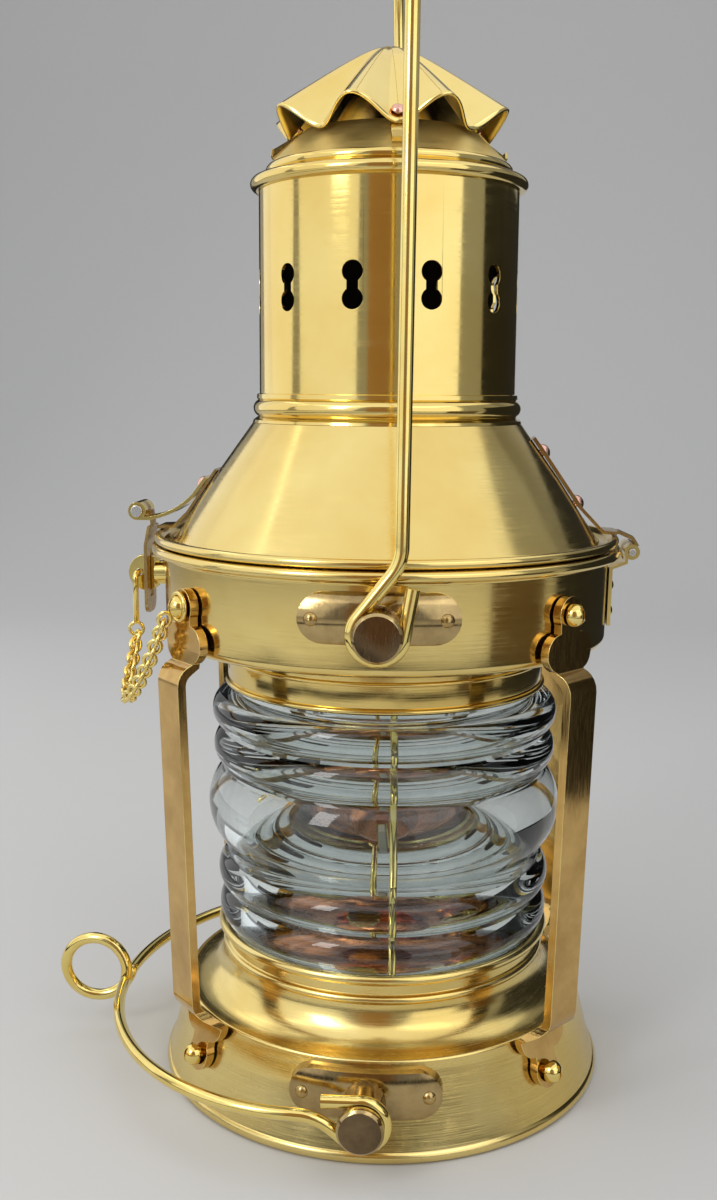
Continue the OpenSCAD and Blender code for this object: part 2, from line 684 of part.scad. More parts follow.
module hinge_leaf() {
    bore = pin_d / 2 + run_gap;
    third = hinge_l / 3;
    path = [[band_at(leaf_foot) + seat_gap, leaf_foot], [band_at(band_top - 4) + seat_gap, band_top - 4],
        [hinge_x - knuckle_r + 0.4, band_top - 1.5], [hinge_x - knuckle_r + 0.4, hinge_z]];
    color(brass) difference() {
        union() {
            radial_plate(hinge_l) polygon(strip(path, -leaf_t));
            knuckle(hinge_x, hinge_z, -hinge_l / 2, hinge_l / 2, bore, knuckle_r);
        }
        translate([hinge_x, -hinge_l / 2 - 1, hinge_z]) along_y(hinge_l + 2) circle(r = bore, $fn = 48);
        translate([hinge_x - knuckle_r - 1, -third / 2 - run_gap, hinge_z - knuckle_r - 0.6])
            cube([2 * knuckle_r + 2, third + 2 * run_gap, 2 * knuckle_r + 2]);
        for (z = leaf_rivet_z) radial_hole(0, z, rivet_d * 0.6 + 2 * hole_gap, band_r - 8, band_r + 8);
    }
}

module hinge_pin() {
    head = 1;
    color(steel) translate([hinge_x, -hinge_l / 2 - head, hinge_z]) along_y(hinge_l + 2 * head)
        circle(d = pin_d, $fn = 48);
}

strap_w = 13;
strap_rivet_z = [cone_z + 10.5, cone_z + 28];
strap_top = cone_z + 33;
module lid_strap() {
    bore = pin_d / 2 + run_gap;
    tongue = hinge_l / 3 - 2 * run_gap;
    roll_top = cone_z + seat_gap;
    slope = [for (z = [strap_top:-6:cone_z + 4]) [cone_at(z) + 0.25, z]];
    path = concat(slope, [[cone_r + 2.2, roll_top + 0.6], [flange_r - 1, roll_top + 0.2]]);
    hook = [[flange_r - 2.2, roll_top + 0.2], [flange_r, roll_top + 0.2],
        [hinge_x + 0.6, hinge_z + knuckle_r + 0.8], [hinge_x + knuckle_r - 0.6, hinge_z + 1]];
    color(bronze) difference() {
        union() {
            radial_plate(strap_w) polygon(strip(path, leaf_t));
            radial_plate(tongue) polygon(strip(hook, leaf_t));
            knuckle(hinge_x, hinge_z, -tongue / 2, tongue / 2, bore, knuckle_r);
        }
        translate([hinge_x, -tongue / 2 - 1, hinge_z]) along_y(tongue + 2) circle(r = bore, $fn = 48);
        for (z = strap_rivet_z) cone_hole(0, z);
    }
}
function cone_lean(z) = atan((cone_at(z - 1) - cone_at(z + 1)) / 2);
// A rivet hole square to the cone
module cone_hole(a, z) {
    on_wall(a, cone_at(z), z, -cone_lean(z)) translate([0, 0, -4])
        cylinder(d = rivet_d * 0.6 + 2 * hole_gap, h = 12);
}

module strap_rivets() {
    color(copper) for (z = strap_rivet_z) rivet(0, cone_at(z), z, leaf_t + 0.3, -cone_lean(z), copper_d);
}

module leaf_rivets() {
    color(bronze) for (z = leaf_rivet_z) rivet(0, band_at(z), z, leaf_t + 0.3);
}

// Lid
module lid_cone() {
    roll = flange_h / 2;
    spigot_r = band_r - sheet - 0.8;
    n = 14;
    side = [for (i = [0:n]) let (z = lerp(lid_z + sheet / 2, neck_z, i / n))
        [z < cone_z ? cone_r : cone_at(z), z]];
    color(brass) difference() {
        revolve() {
            polygon(strip(side, sheet));
            translate([cone_r - sheet, lid_z]) square([flange_r - roll - cone_r + sheet, sheet]);
            translate([flange_r - roll, lid_z + roll]) circle(r = roll, $fn = 48);
            translate([spigot_r - sheet, lid_z - spigot_h]) square([sheet, spigot_h + sheet]);
        }
        for (z = strap_rivet_z) cone_hole(0, z);
        cone_hole(180, bracket_rivet_z);
    }
}

collar_in = chimney_r + seat_gap;
module neck_collar() {
    bead_mid = neck_z + 5;
    color(brass) revolve() {
        translate([collar_in, neck_z + seat_gap]) square([sheet, 2 * neck_bead + 3.4]);
        translate([collar_in, neck_z + seat_gap]) square([cone_top_r - collar_in + 0.2, 1]);
        intersection() {
            translate([chimney_r + 2.2 - neck_bead, bead_mid]) circle(r = neck_bead, $fn = 48);
            translate([collar_in, neck_z]) square([10, 20]);
        }
    }
}

module chimney() {
    tube_low = neck_z - 3;
    mid = neck_z + vent_z;
    color(brass) difference() {
        revolve() {
            translate([chimney_r - sheet, tube_low]) square([sheet, chimney_top - tube_low]);
            translate([chimney_r - sheet, tube_low]) square([sheet + 1.6, sheet]);
        }
        for (i = [0:vent_count - 1]) about(vent_phase + 360 * i / vent_count) {
            for (k = [-1, 1]) translate([chimney_r - 6, 0, mid + k * vent_pitch / 2]) rotate([0, 90, 0])
                cylinder(d = vent_d, h = 12);
            translate([chimney_r - 6, -vent_waist / 2, mid - vent_pitch / 2])
                cube([12, vent_waist, vent_pitch]);
        }
    }
}
vent_phase = -101;

// Cap and crown
cap_low = chimney_top - 0.5;
cap_bead = 2.2;
cap_bead2 = 2;
cap_in = 5.3;
cap_step_r = cap_r - cap_in - cap_bead2;
cap_step_z = cap_low + 2 * cap_bead + cap_bead2 + 0.2;
cap_shoulder_z = cap_low + 2 * (cap_bead + cap_bead2);
cap_shoulder_r = cap_step_r + 0.8;
cap_slope = 0.94;
function cap_at(r) = cap_shoulder_z + cap_slope * (cap_shoulder_r - r);
module chimney_cap() {
    color(brass) revolve() {
        difference() {
            translate([cap_r - cap_bead, cap_low + cap_bead]) circle(r = cap_bead, $fn = 48);
            translate([chimney_r - 3, cap_low - 1])
                square([3 + seat_gap, chimney_top - cap_low + 1 + seat_gap]);
        }
        translate([cap_step_r, cap_step_z]) circle(r = cap_bead2, $fn = 48);
        translate([chimney_r + seat_gap, cap_low]) square([sheet, 1.6 * cap_bead]);
        translate([chimney_r - 3, chimney_top + seat_gap]) square([4 + seat_gap, sheet]);
        polygon([[chimney_r - 3.4, chimney_top + seat_gap], [cap_r - cap_bead - 0.4, cap_low + 1.5 * cap_bead],
            [cap_step_r + 1, cap_step_z - 1.5], [cap_shoulder_r, cap_shoulder_z],
            [flue_r, cap_at(flue_r)], [flue_r, cap_at(flue_r) - 2 * sheet],
            [cap_shoulder_r - 2 * sheet, cap_shoulder_z - 1.5 * sheet]]);
    }
}

tip_z = crown_top - crown_h;
dome_r = 8;
function dome_drop(r) = sqrt(r * r + dome_r * dome_r) - dome_r;
ridge_fall = crown_h * 0.73 / dome_drop(crown_r);
valley_fall = crown_h - ridge_fall * dome_drop(valley_r);
// A point of the crown sheet: t runs from the middle to the rim, c is 0 in a valley and 1 on a ridge
function crown_pt(t, a, drop) =
    let (c = (1 - cos(lobes * a)) / 2, r = t * lerp(valley_r, crown_r, c))
    [r * cos(a), r * sin(a),
        crown_top - drop - ridge_fall * dome_drop(r) - valley_fall * (1 - c) * pow(t, 1.6)];

module crown() {
    rings = 9;
    per = 12;
    n = lobes * per;
    ts = [for (i = [1:rings]) i / rings];
    sheet_pts = function (drop) [for (t = ts, j = [0:n - 1]) crown_pt(t, 360 * j / n, drop)];
    pts = concat(sheet_pts(0), [crown_pt(0, 0, 0)], sheet_pts(crown_t), [crown_pt(0, 0, crown_t)]);
    half = rings * n + 1;
    function at(i, j, side) = side * half + i * n + j % n;
    quads = [for (side = [0, 1], i = [0:rings - 2], j = [0:n - 1])
        let (q = [at(i, j, side), at(i, j + 1, side), at(i + 1, j + 1, side), at(i + 1, j, side)])
        side == 0 ? q : reversed(q)];
    caps = [for (side = [0, 1], j = [0:n - 1])
        let (q = [side * half + rings * n, at(0, j + 1, side), at(0, j, side)]) side == 0 ? q : reversed(q)];
    rim = [for (j = [0:n - 1])
        [at(rings - 1, j, 0), at(rings - 1, j + 1, 0), at(rings - 1, j + 1, 1), at(rings - 1, j, 1)]];
    tris = [for (q = concat(quads, rim)) each [[q[0], q[1], q[2]], [q[0], q[2], q[3]]]];
    color(brass) about(crown_turn) difference() {
        polyhedron(points = pts, faces = concat(tris, caps));
        for (a = [0:90:270]) about(a) at_valley() translate([0, 0, -6])
            cylinder(d = tab_rivet_d + 0.2, h = 12);
    }
}

tab_rivet_r = valley_r - 3.2;
tab_rivet_d = 1.8;
tab_w = 5;
tab_t = 0.9;
module crown_tabs() {
    low_r = valley_r + 4.5;
    path = [[tab_rivet_r - 1.9, cap_at(tab_rivet_r - 1.9) + seat_gap], [low_r, cap_at(low_r) + seat_gap],
        [low_r + 1.2, cap_at(low_r) + 1.4], [low_r + 1, cap_at(low_r) + 3.6]];
    color(brass) for (a = [0:90:270]) about(crown_turn + a) difference() {
        radial_plate(tab_w) polygon(strip(path, tab_t));
        at_valley() translate([0, 0, -6]) cylinder(d = tab_rivet_d + 0.2, h = 12);
    }
}

// The rivet's place in a valley, square to the sheet
module at_valley() {
    t = tab_rivet_r / valley_r;
    step = 0.03;
    lean = atan((crown_pt(t - step, 0, 0)[2] - crown_pt(t + step, 0, 0)[2]) / (2 * step * valley_r));
    translate([tab_rivet_r, 0, crown_pt(t, 0, 0)[2]]) rotate([0, lean, 0]) children();
}

module crown_rivets() {
    t = tab_rivet_r / valley_r;
    room = (crown_pt(t, 0, 0)[2] - cap_at(tab_rivet_r)) / norm([1, cap_slope]);
    belly = 0.8;
    color(copper) for (a = [0:90:270]) about(crown_turn + a) at_valley() {
        translate([0, 0, 0.5 - room]) cylinder(d = tab_rivet_d, h = room);
        translate([0, 0, 0.2 + belly]) {
            dome(rivet_d, rivet_d * 0.25);
            mirror([0, 0, 1]) dome(rivet_d, belly);
        }
    }
}

// Hasp and lock, on the -X side
eye_r = hasp_pin_d / 2 + run_gap + knuckle_t * 0.8;
bracket_w = 14;
bracket_top = cone_z + 21;
bracket_rivet_z = cone_z + 14.6;
staple_z = band_top - 9.5;
staple_tail = 4;
staple_x = hasp_x - 1.7;
plate_x = hasp_x - 2.2;

module hasp_bracket() {
    slope = [for (z = [bracket_top:-5:cone_z + 4]) [cone_at(z) + 0.3, z]];
    path = concat(slope, [[cone_r + 1.8, cone_z + seat_gap + 0.4], [flange_r - 0.4, cone_z + seat_gap]]);
    color(bronze) about(180) difference() {
        radial_plate(bracket_w) polygon(strip(path, leaf_t * 0.8));
        cone_hole(0, bracket_rivet_z);
    }
}

leaf_seat = 0.3 + leaf_t * 0.8 + seat_gap;
module hasp_leaf() {
    bore = hasp_pin_d / 2 + run_gap;
    low = [hasp_x - 4, hasp_z - eye_r];
    top_z = bracket_rivet_z + 3.4;
    heel_z = bracket_rivet_z - 3;
    top = [cone_at(top_z) + leaf_seat + 0.5, top_z];
    heel = [cone_at(heel_z) + leaf_seat + 0.9, heel_z];
    path = concat([top], bow(heel, low, 1.6, 6), [[hasp_x, hasp_z - eye_r]]);
    knuckle_w = hasp_w / 3;
    color(brass) about(180) difference() {
        union() {
            radial_plate(hasp_w) polygon(strip(path, leaf_t));
            knuckle(hasp_x, hasp_z, -hasp_w / 2, hasp_w / 2, bore, eye_r);
        }
        translate([hasp_x, -hasp_w / 2 - 1, hasp_z]) along_y(hasp_w + 2) circle(r = bore, $fn = 48);
        translate([hasp_x - eye_r - 2.6, -knuckle_w / 2 - seat_gap, hasp_z - eye_r - 3])
            cube([2 * eye_r + 6, knuckle_w + 2 * seat_gap, 2 * eye_r + 6]);
        cone_hole(0, bracket_rivet_z);
    }
}

module hasp_rivet() {
    color(copper) rivet(180, cone_at(bracket_rivet_z), bracket_rivet_z,
        (leaf_seat + 0.75) * cos(cone_lean(bracket_rivet_z)) + leaf_t + 0.05, -cone_lean(bracket_rivet_z), copper_d);
}

module hasp_pin() {
    head = 1;
    color(steel) about(180) translate([hasp_x, -hasp_w / 2 - head, hasp_z]) along_y(hasp_w + 2 * head)
        circle(d = hasp_pin_d, $fn = 48);
}

module hasp() {
    bore = hasp_pin_d / 2 + run_gap;
    tongue = hasp_w / 3;
    neck_l = eye_r + 2.2;
    slot_w = eye_t + 1.6;
    slot_h = eye_d + 4.4;
    low_z = hasp_z - hasp_l;
    path = [[hasp_x - eye_r + 0.1, hasp_z], [hasp_x - eye_r - 0.5, hasp_z - eye_r - 1.4],
        [plate_x, hasp_z - 2 * eye_r - 6], [plate_x, low_z]];
    color(bronze) about(180) difference() {
        union() {
            intersection() {
                radial_plate(hasp_w) polygon(strip(path, -leaf_t));
                outline_cut(hasp_x - 12, hasp_x + 8) {
                    translate([-tongue / 2, hasp_z - neck_l - 1]) square([tongue, neck_l + 2]);
                    translate([-hasp_w / 2, low_z + 4]) square([hasp_w, hasp_l - 4 - neck_l]);
                    translate([-hasp_w / 2 + 4, low_z]) square([hasp_w - 8, 8]);
                    for (k = [-1, 1]) translate([k * (hasp_w / 2 - 4), low_z + 4]) circle(r = 4, $fn = 48);
                }
            }
            knuckle(hasp_x, hasp_z, -tongue / 2, tongue / 2, bore, eye_r);
        }
        translate([hasp_x, -tongue / 2 - 1, hasp_z]) along_y(tongue + 2) circle(r = bore, $fn = 48);
        translate([plate_x - 6, -slot_w / 2, staple_z - slot_h / 2]) cube([16, slot_w, slot_h]);
    }
}

lock_x = hasp_x + 1.1;
lock_hole = lock_wire / 2 + 0.35;
module staple() {
    boss_d = 8.6;
    boss_l = 5.3;
    wall = band_at(staple_z) + seat_gap;
    color(brass) about(180) difference() {
        union() {
            translate([wall, 0, staple_z]) rotate([0, 90, 0]) cylinder(d = boss_d, h = boss_l);
            translate([wall - 4, 0, staple_z]) rotate([0, 90, 0]) cylinder(d = staple_tail, h = 5);
            translate([staple_x, -eye_t / 2, staple_z]) along_y(eye_t) circle(d = eye_d, $fn = 64);
        }
        translate([lock_x, -eye_t, staple_z]) along_y(2 * eye_t) circle(r = lock_hole, $fn = 48);
    }
}

drop_y = -6;
lock_bend = 2;
ring_r = 2.4;
ring_wire = 1.4;
lock_low = staple_z - 17.5;
module lock_pin() {
    tip_y = 5;
    color(brass) translate([-lock_x, 0, 0]) {
        wire([0, drop_y + lock_bend, staple_z], [0, tip_y, staple_z], lock_wire);
        wire_end([0, tip_y, staple_z], [0, 1, 0], lock_wire);
        translate([0, drop_y + lock_bend, staple_z - lock_bend]) about(90)
            wire_bend([0, 0], lock_bend, 90, 180, lock_wire);
        wire([0, drop_y, staple_z - lock_bend], [0, drop_y, lock_low], lock_wire);
        translate([0, drop_y, lock_low - ring_r]) rotate([90, 0, 0]) ring(ring_r, ring_wire);
    }
}

// The chain's route from the lock pin's ring, hanging down and up to the front left guard screw
function up_screw_at(a) =
    let (r = band_at(upper_screw_z) + guard_t + 1.8) [r * cos(a), r * sin(a), upper_screw_z];
link_r = 2.2;
link_wire = 1.1;
link_pitch = 2.9;
chain_start = [-lock_x, drop_y, lock_low - 2 * ring_r - ring_wire / 2];
eyelet_r = screw_d / 2 + link_wire / 2 + 0.25;
chain_side = eyelet_r + link_wire + link_r - 0.4;
chain_end = let (p = up_screw_at(guard_angles[0])) p + chain_side * unit([-p[1], p[0], 0]) * -0.8
    + [0, 0, -chain_side * 0.6] + 2 * unit([p[0], p[1], 0]);
chain_sag = 24;
chain_out = 8;
function chain_at(s) =
    let (p = lerp(chain_start, chain_end, s))
    p + unit([p[0], p[1], 0]) * (chain_out * sin(180 * s)) - [0, 0, chain_sag * 4 * s * (1 - s)];
chain_route = [for (i = [0:16]) chain_at(i / 16)];
function lengths(p) = [for (i = [0:len(p) - 2]) norm(p[i + 1] - p[i])];
function on_route(p, l, s, i = 0) =
    i == len(l) - 1 || s <= l[i] ? [lerp(p[i], p[i + 1], s / l[i]), unit(p[i + 1] - p[i])]
        : on_route(p, l, s - l[i], i + 1);
module chain_link(at, dir, roll) {
    translate(at) rotate([0, acos(dir[2]), atan2(dir[1], dir[0])]) rotate([90, 0, roll])
        ring(link_r, link_wire);
}
module lock_chain() {
    l = lengths(chain_route);
    total = sum_to(l, len(l) - 1);
    count = floor(total / link_pitch);
    color(brass) {
        for (i = [0:count]) let (q = on_route(chain_route, l, i * total / count))
            chain_link(q[0], q[1], 90 * (i % 2));
        on_wall(guard_angles[0], band_at(upper_screw_z) + guard_t + 1.3 + link_wire / 2, upper_screw_z)
            ring(eyelet_r, link_wire);
    }
}

// Oil font and burner
font_low = plate_t + 0.1;
font_top = font_low + font_h;
shoulder_r = 22;
font_neck_r = 15;
burner_z = font_top + 5;
ear_z = font_top - 3;
ear_ring = 3;
ear_wire = 1.6;
eye_ring = 2.6;
eye_z = ear_z + ear_ring - ear_wire / 2 - handle_wire / 2 - seat_gap + eye_ring;
leg_r = font_r - 2.2;
burner_turn = font_turn + 82;
module font() {
    color(copper) about(font_turn) difference() {
        union() {
            revolve() polygon(concat([[0, font_low], [font_r - 2, font_low], [font_r, font_low + 2]],
                bow([font_r, font_top - 6], [font_neck_r, font_top + 2], 4.5, 8),
                [[font_neck_r, burner_z], [0, burner_z]]));
            for (k = [-1, 1]) translate([0, k * leg_r, ear_z]) rotate([0, 90, 0]) ring(ear_ring, ear_wire);
            translate([fill_x, fill_y, font_top - 4]) cylinder(r = fill_r + 1.4, h = 9);
        }
        translate([fill_x, fill_y, font_top - 8]) cylinder(r = fill_r, h = 20);
        translate([0, 0, burner_z - 6]) cylinder(r = burner_socket, h = 8);
        revolve() polygon(concat([[0, font_low + sheet], [font_r - 2 - sheet, font_low + sheet],
            [font_r - sheet, font_low + 2 + sheet]],
            bow([font_r - sheet, font_top - 6.4], [font_neck_r - sheet, font_top + 0.6], 4.3, 8),
            [[0, font_top + 0.6]]));
    }
}
burner_socket = 11;
fill_x = 27;
fill_y = -12;
fill_r = 5;

module filler_cap() {
    cap_z = font_top + 5 + seat_gap;
    color(brass) about(font_turn) translate([fill_x, fill_y, cap_z]) {
        translate([0, 0, -6]) cylinder(r = fill_r - seat_gap, h = 6.1);
        cylinder(r = fill_r + 2, h = 3);
        translate([0, 0, 3]) dome(2 * fill_r + 3.6, 1.6);
    }
}

module font_handle() {
    corner = 14;
    foot_z = eye_z + eye_ring;
    color(brass) about(font_turn) {
        for (k = [-1, 1]) {
            translate([0, k * leg_r, eye_z]) rotate([90, 0, 0]) ring(eye_ring, handle_wire);
            wire([0, k * leg_r, foot_z], [0, k * leg_r, handle_top - corner], handle_wire);
        }
        about(90) {
            wire_bend([leg_r - corner, handle_top - corner], corner, 0, 90, handle_wire);
            wire_bend([corner - leg_r, handle_top - corner], corner, 90, 180, handle_wire);
            wire([corner - leg_r, 0, handle_top], [leg_r - corner, 0, handle_top], handle_wire);
        }
    }
}

winder_z = burner_z + 5;
winder_d = 2.2;
spur_r = 3;
tube_wall = 0.8;
tube_top = burner_z + 17;
tube_low = burner_z - 5;
module burner() {
    dome_h = 9;
    color(copper) about(burner_turn) difference() {
        revolve() {
            translate([0, burner_z - 5.9]) square([burner_socket - seat_gap, 6]);
            difference() {
                polygon(concat(
                    [[0, burner_z + seat_gap], [burner_r, burner_z + seat_gap], [burner_r, burner_z + 4]],
                    arc(burner_r - dome_h, burner_z + 4, dome_h, 0, 80, 8), [[0, burner_z + 4 + dome_h]]));
                polygon([[0, burner_z + 1.4], [burner_r - 1.2, burner_z + 1.4], [burner_r - 1.2, burner_z + 4],
                    [burner_r - dome_h, burner_z + 3 + dome_h], [0, burner_z + 3 + dome_h]]);
            }
        }
        translate([-wick_w / 2 - tube_wall - seat_gap, -wick_t / 2 - tube_wall - seat_gap, tube_low - 2])
            cube([wick_w + 2 * (tube_wall + seat_gap), wick_t + 2 * (tube_wall + seat_gap), 40]);
        translate([0, spur_y, winder_z]) rotate([0, winder_way, 0]) translate([0, 0, -burner_r])
            cylinder(r = winder_d / 2 + run_gap, h = 2 * burner_r + 4);
    }
}

spur_y = wick_t / 2 + spur_r + 0.15;
winder_way = -90;
module wick_tube() {
    color(brass) about(burner_turn) difference() {
        translate([-wick_w / 2 - tube_wall, -wick_t / 2 - tube_wall, tube_low])
            cube([wick_w + 2 * tube_wall, wick_t + 2 * tube_wall, tube_top - tube_low]);
        translate([-wick_w / 2 - 0.1, -wick_t / 2 - 0.1, tube_low - 1])
            cube([wick_w + 0.2, wick_t + 0.2, tube_top - tube_low + 2]);
        translate([-2.4, spur_y, winder_z]) rotate([0, 90, 0]) cylinder(r = spur_r + 0.4, h = 4.8);
    }
}

module wick() {
    tail = 36;
    color("ivory") about(burner_turn) translate([-wick_w / 2, -wick_t / 2, tube_low - tail])
        cube([wick_w, wick_t, tube_top + 2.2 - tube_low + tail]);
}

module winder() {
    knob_r = 6;
    knob_t = 3;
    reach = burner_r + 10;
    color(brass) about(burner_turn) translate([0, spur_y, winder_z]) rotate([0, -90, 0]) {
        translate([0, 0, -4]) cylinder(d = winder_d, h = reach + 4.5);
        translate([0, 0, -2]) cylinder(r = spur_r, h = 4);
        translate([0, 0, reach]) difference() {
            cylinder(r = knob_r, h = knob_t);
            for (a = [0:30:330]) about(a) translate([knob_r + 0.5, 0, -1]) cylinder(r = 1.1, h = knob_t + 2);
        }
    }
}

base_pan();
base_plate();
font_seat();
lower_gallery();
glass_lens();
upper_gallery();
top_band();
guard(guard_angles[0]);  // guard_front_left
guard(guard_angles[1]);  // guard_front_right
guard(guard_angles[2]);  // guard_rear_left
guard(guard_angles[3]);  // guard_rear_right
guard_screws();
upper_lug(-90);  // upper_lug_front
upper_lug(90);  // upper_lug_rear
base_lug(-90);  // base_lug_front
base_lug(90);  // base_lug_rear
lug_rivets();
carry_bail();
downhaul_bail();
hinge_leaf();
hinge_pin();
leaf_rivets();
lid_strap();
strap_rivets();
lid_cone();
neck_collar();
chimney();
chimney_cap();
crown();
crown_tabs();
crown_rivets();
hasp_bracket();
hasp_leaf();
hasp_rivet();
hasp_pin();
hasp();
staple();
lock_pin();
lock_chain();
font();
font_handle();
filler_cap();
burner();
wick_tube();
wick();
winder();
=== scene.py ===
# %% [markdown]
# # A brass anchor lamp
# The lamp is spun brass sheet round a ribbed glass, with cast straps and lugs, bent wire bails and a
# small lock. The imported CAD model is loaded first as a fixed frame, and the pieces made here ride on its
# bodies. Sizes are written in millimetres, as on a workshop drawing, and scaled to metres where a mesh
# is made.

# %% Load the frame
import json
import math

import bmesh
import bpy
from mathutils import Matrix, Vector


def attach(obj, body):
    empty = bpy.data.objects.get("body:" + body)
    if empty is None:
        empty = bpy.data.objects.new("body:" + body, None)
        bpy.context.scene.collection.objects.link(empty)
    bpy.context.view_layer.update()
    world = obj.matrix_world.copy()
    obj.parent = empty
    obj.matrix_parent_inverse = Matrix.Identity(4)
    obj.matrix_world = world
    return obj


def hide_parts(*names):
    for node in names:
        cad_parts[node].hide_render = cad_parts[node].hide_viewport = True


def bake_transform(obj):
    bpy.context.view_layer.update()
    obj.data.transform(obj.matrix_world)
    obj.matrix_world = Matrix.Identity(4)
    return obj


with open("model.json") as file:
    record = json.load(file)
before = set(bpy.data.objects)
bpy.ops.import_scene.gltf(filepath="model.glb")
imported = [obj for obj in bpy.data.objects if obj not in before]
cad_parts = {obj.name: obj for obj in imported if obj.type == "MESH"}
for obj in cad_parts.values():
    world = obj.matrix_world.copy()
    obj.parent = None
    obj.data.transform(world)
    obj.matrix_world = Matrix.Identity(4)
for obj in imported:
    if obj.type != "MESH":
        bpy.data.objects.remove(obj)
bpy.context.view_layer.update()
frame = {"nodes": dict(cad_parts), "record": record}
cad = frame["nodes"]
bodies = frame["record"]["behaviour"]["bodies"]
body_of_node = {node_name: body for body, names in bodies.items() for node_name in names}
MM = 0.001
scene = bpy.context.scene
scene.view_settings.view_transform = "Standard"

# %% [markdown]
# ## Camera
# The lamp is seen from the front, a little from the right, from just above the foot of the chimney and
# from quite near. The camera could be set by eye, but circles fitted to the lamp's rims give its height,
# distance and tilt, so they are written here as found. A vertical sensor fit keeps the lens the same for
# a tall picture.

# %% Camera
CAMERA_AWAY, CAMERA_UP = 464, 246
CAMERA_ROUND = math.radians(3.7)
LOOK_DOWN = math.radians(9.25)
LOOK_LEFT = math.radians(1.18)
CAMERA_ROLL = math.radians(0.37)
LENS, SENSOR_H, NEAREST = 39.3, 36, 10
camera_data = bpy.data.cameras.new("camera")
camera_data.sensor_fit = "VERTICAL"
camera_data.sensor_height = SENSOR_H
camera_data.lens = LENS
camera_data.clip_start = NEAREST * MM
camera = bpy.data.objects.new("camera", camera_data)
scene.collection.objects.link(camera)
place = Vector((math.sin(CAMERA_ROUND), -math.cos(CAMERA_ROUND), 0)) * CAMERA_AWAY
place.z = CAMERA_UP
place *= MM
aim = Matrix.Rotation(CAMERA_ROUND + LOOK_LEFT, 4, "Z")
tilt = Matrix.Rotation(math.radians(90) - LOOK_DOWN, 4, "X")
twist = Matrix.Rotation(CAMERA_ROLL, 4, "Z")
camera.matrix_world = Matrix.Translation(place) @ aim @ tilt @ twist
scene.camera = camera
print("camera at", [round(c, 3) for c in place])

# %% [markdown]
# ## Floor and light
# Polished metal shows whatever stands round it, so the room matters as much as the lamps. A pale floor
# sweeps up into a backdrop without a corner. Large soft boxes on the left, on the right and overhead
# give broad bright bands on the brass, where small lamps would only give sparks. A narrower one on the
# left adds a brighter streak.
# Cards, which studios call flags, give the curves their darker bands: black ones at the right and the
# back for the dark edges, a brown one in front for the warm stripe down the chimney, a low dark one for
# the right of the band, and black kerbs for the wall of the foot. They are only there to be mirrored, so
# they are hidden from the camera and cast no shadow.


# %% Mesh and stage helpers
def mesh_object(name, bm, smooth_angle=None):
    """A new object at the origin from a bmesh, smooth up to an angle between faces."""
    mesh = bpy.data.meshes.new(name)
    for face in bm.faces:
        face.smooth = smooth_angle is not None
    bm.to_mesh(mesh)
    bm.free()
    if smooth_angle is not None:
        mesh.set_sharp_from_angle(angle=math.radians(smooth_angle))
    obj = bpy.data.objects.new(name, mesh)
    scene.collection.objects.link(obj)
    return obj


def stage_card(name, corners, material):
    """A flat four cornered card that belongs to the studio."""
    bm = bmesh.new()
    bm.faces.new([bm.verts.new(Vector(c) * MM) for c in corners])
    card = mesh_object(name, bm)
    card.data.materials.append(material)
    return card


def fresh_material(name, roughness):
    """A new node material with its tree and its shader."""
    material = bpy.data.materials.new(name)
    material.use_nodes = True
    shader = material.node_tree.nodes["Principled BSDF"]
    shader.inputs["Roughness"].default_value = roughness
    return material, material.node_tree, shader


def paper(name, colour):
    """Plain matt paper or card of one colour."""
    material, _, shader = fresh_material(name, 0.9)
    shader.inputs["Base Color"].default_value = (*colour, 1)
    return material


# %% Floor
FLOOR_HALF = 2600
SWEEP_Y, SWEEP_R, SWEEP_STEP, BACKDROP_H = 900, 700, 9, 3200
pale_paper = paper("pale_paper", (0.60, 0.595, 0.58))
sweep_angles = [math.radians(a) for a in range(SWEEP_STEP, 91, SWEEP_STEP)]
sweep_line = [(-FLOOR_HALF, 0), (SWEEP_Y, 0)]
sweep_line += [(SWEEP_Y + SWEEP_R * math.sin(a), SWEEP_R - SWEEP_R * math.cos(a)) for a in sweep_angles]
sweep_line.append((SWEEP_Y + SWEEP_R, BACKDROP_H))
sweep = bmesh.new()
line_verts = [sweep.verts.new((-FLOOR_HALF * MM, y * MM, z * MM)) for y, z in sweep_line]
line_edges = [sweep.edges.new(pair) for pair in zip(line_verts, line_verts[1:])]
sheet = bmesh.ops.extrude_edge_only(sweep, edges=line_edges)
far_verts = [v for v in sheet["geom"] if isinstance(v, bmesh.types.BMVert)]
bmesh.ops.translate(sweep, verts=far_verts, vec=(2 * FLOOR_HALF * MM, 0, 0))
bmesh.ops.recalc_face_normals(sweep, faces=sweep.faces)
floor = mesh_object("floor", sweep, smooth_angle=60)
floor.data.materials.append(pale_paper)
print("floor faces:", len(floor.data.polygons))

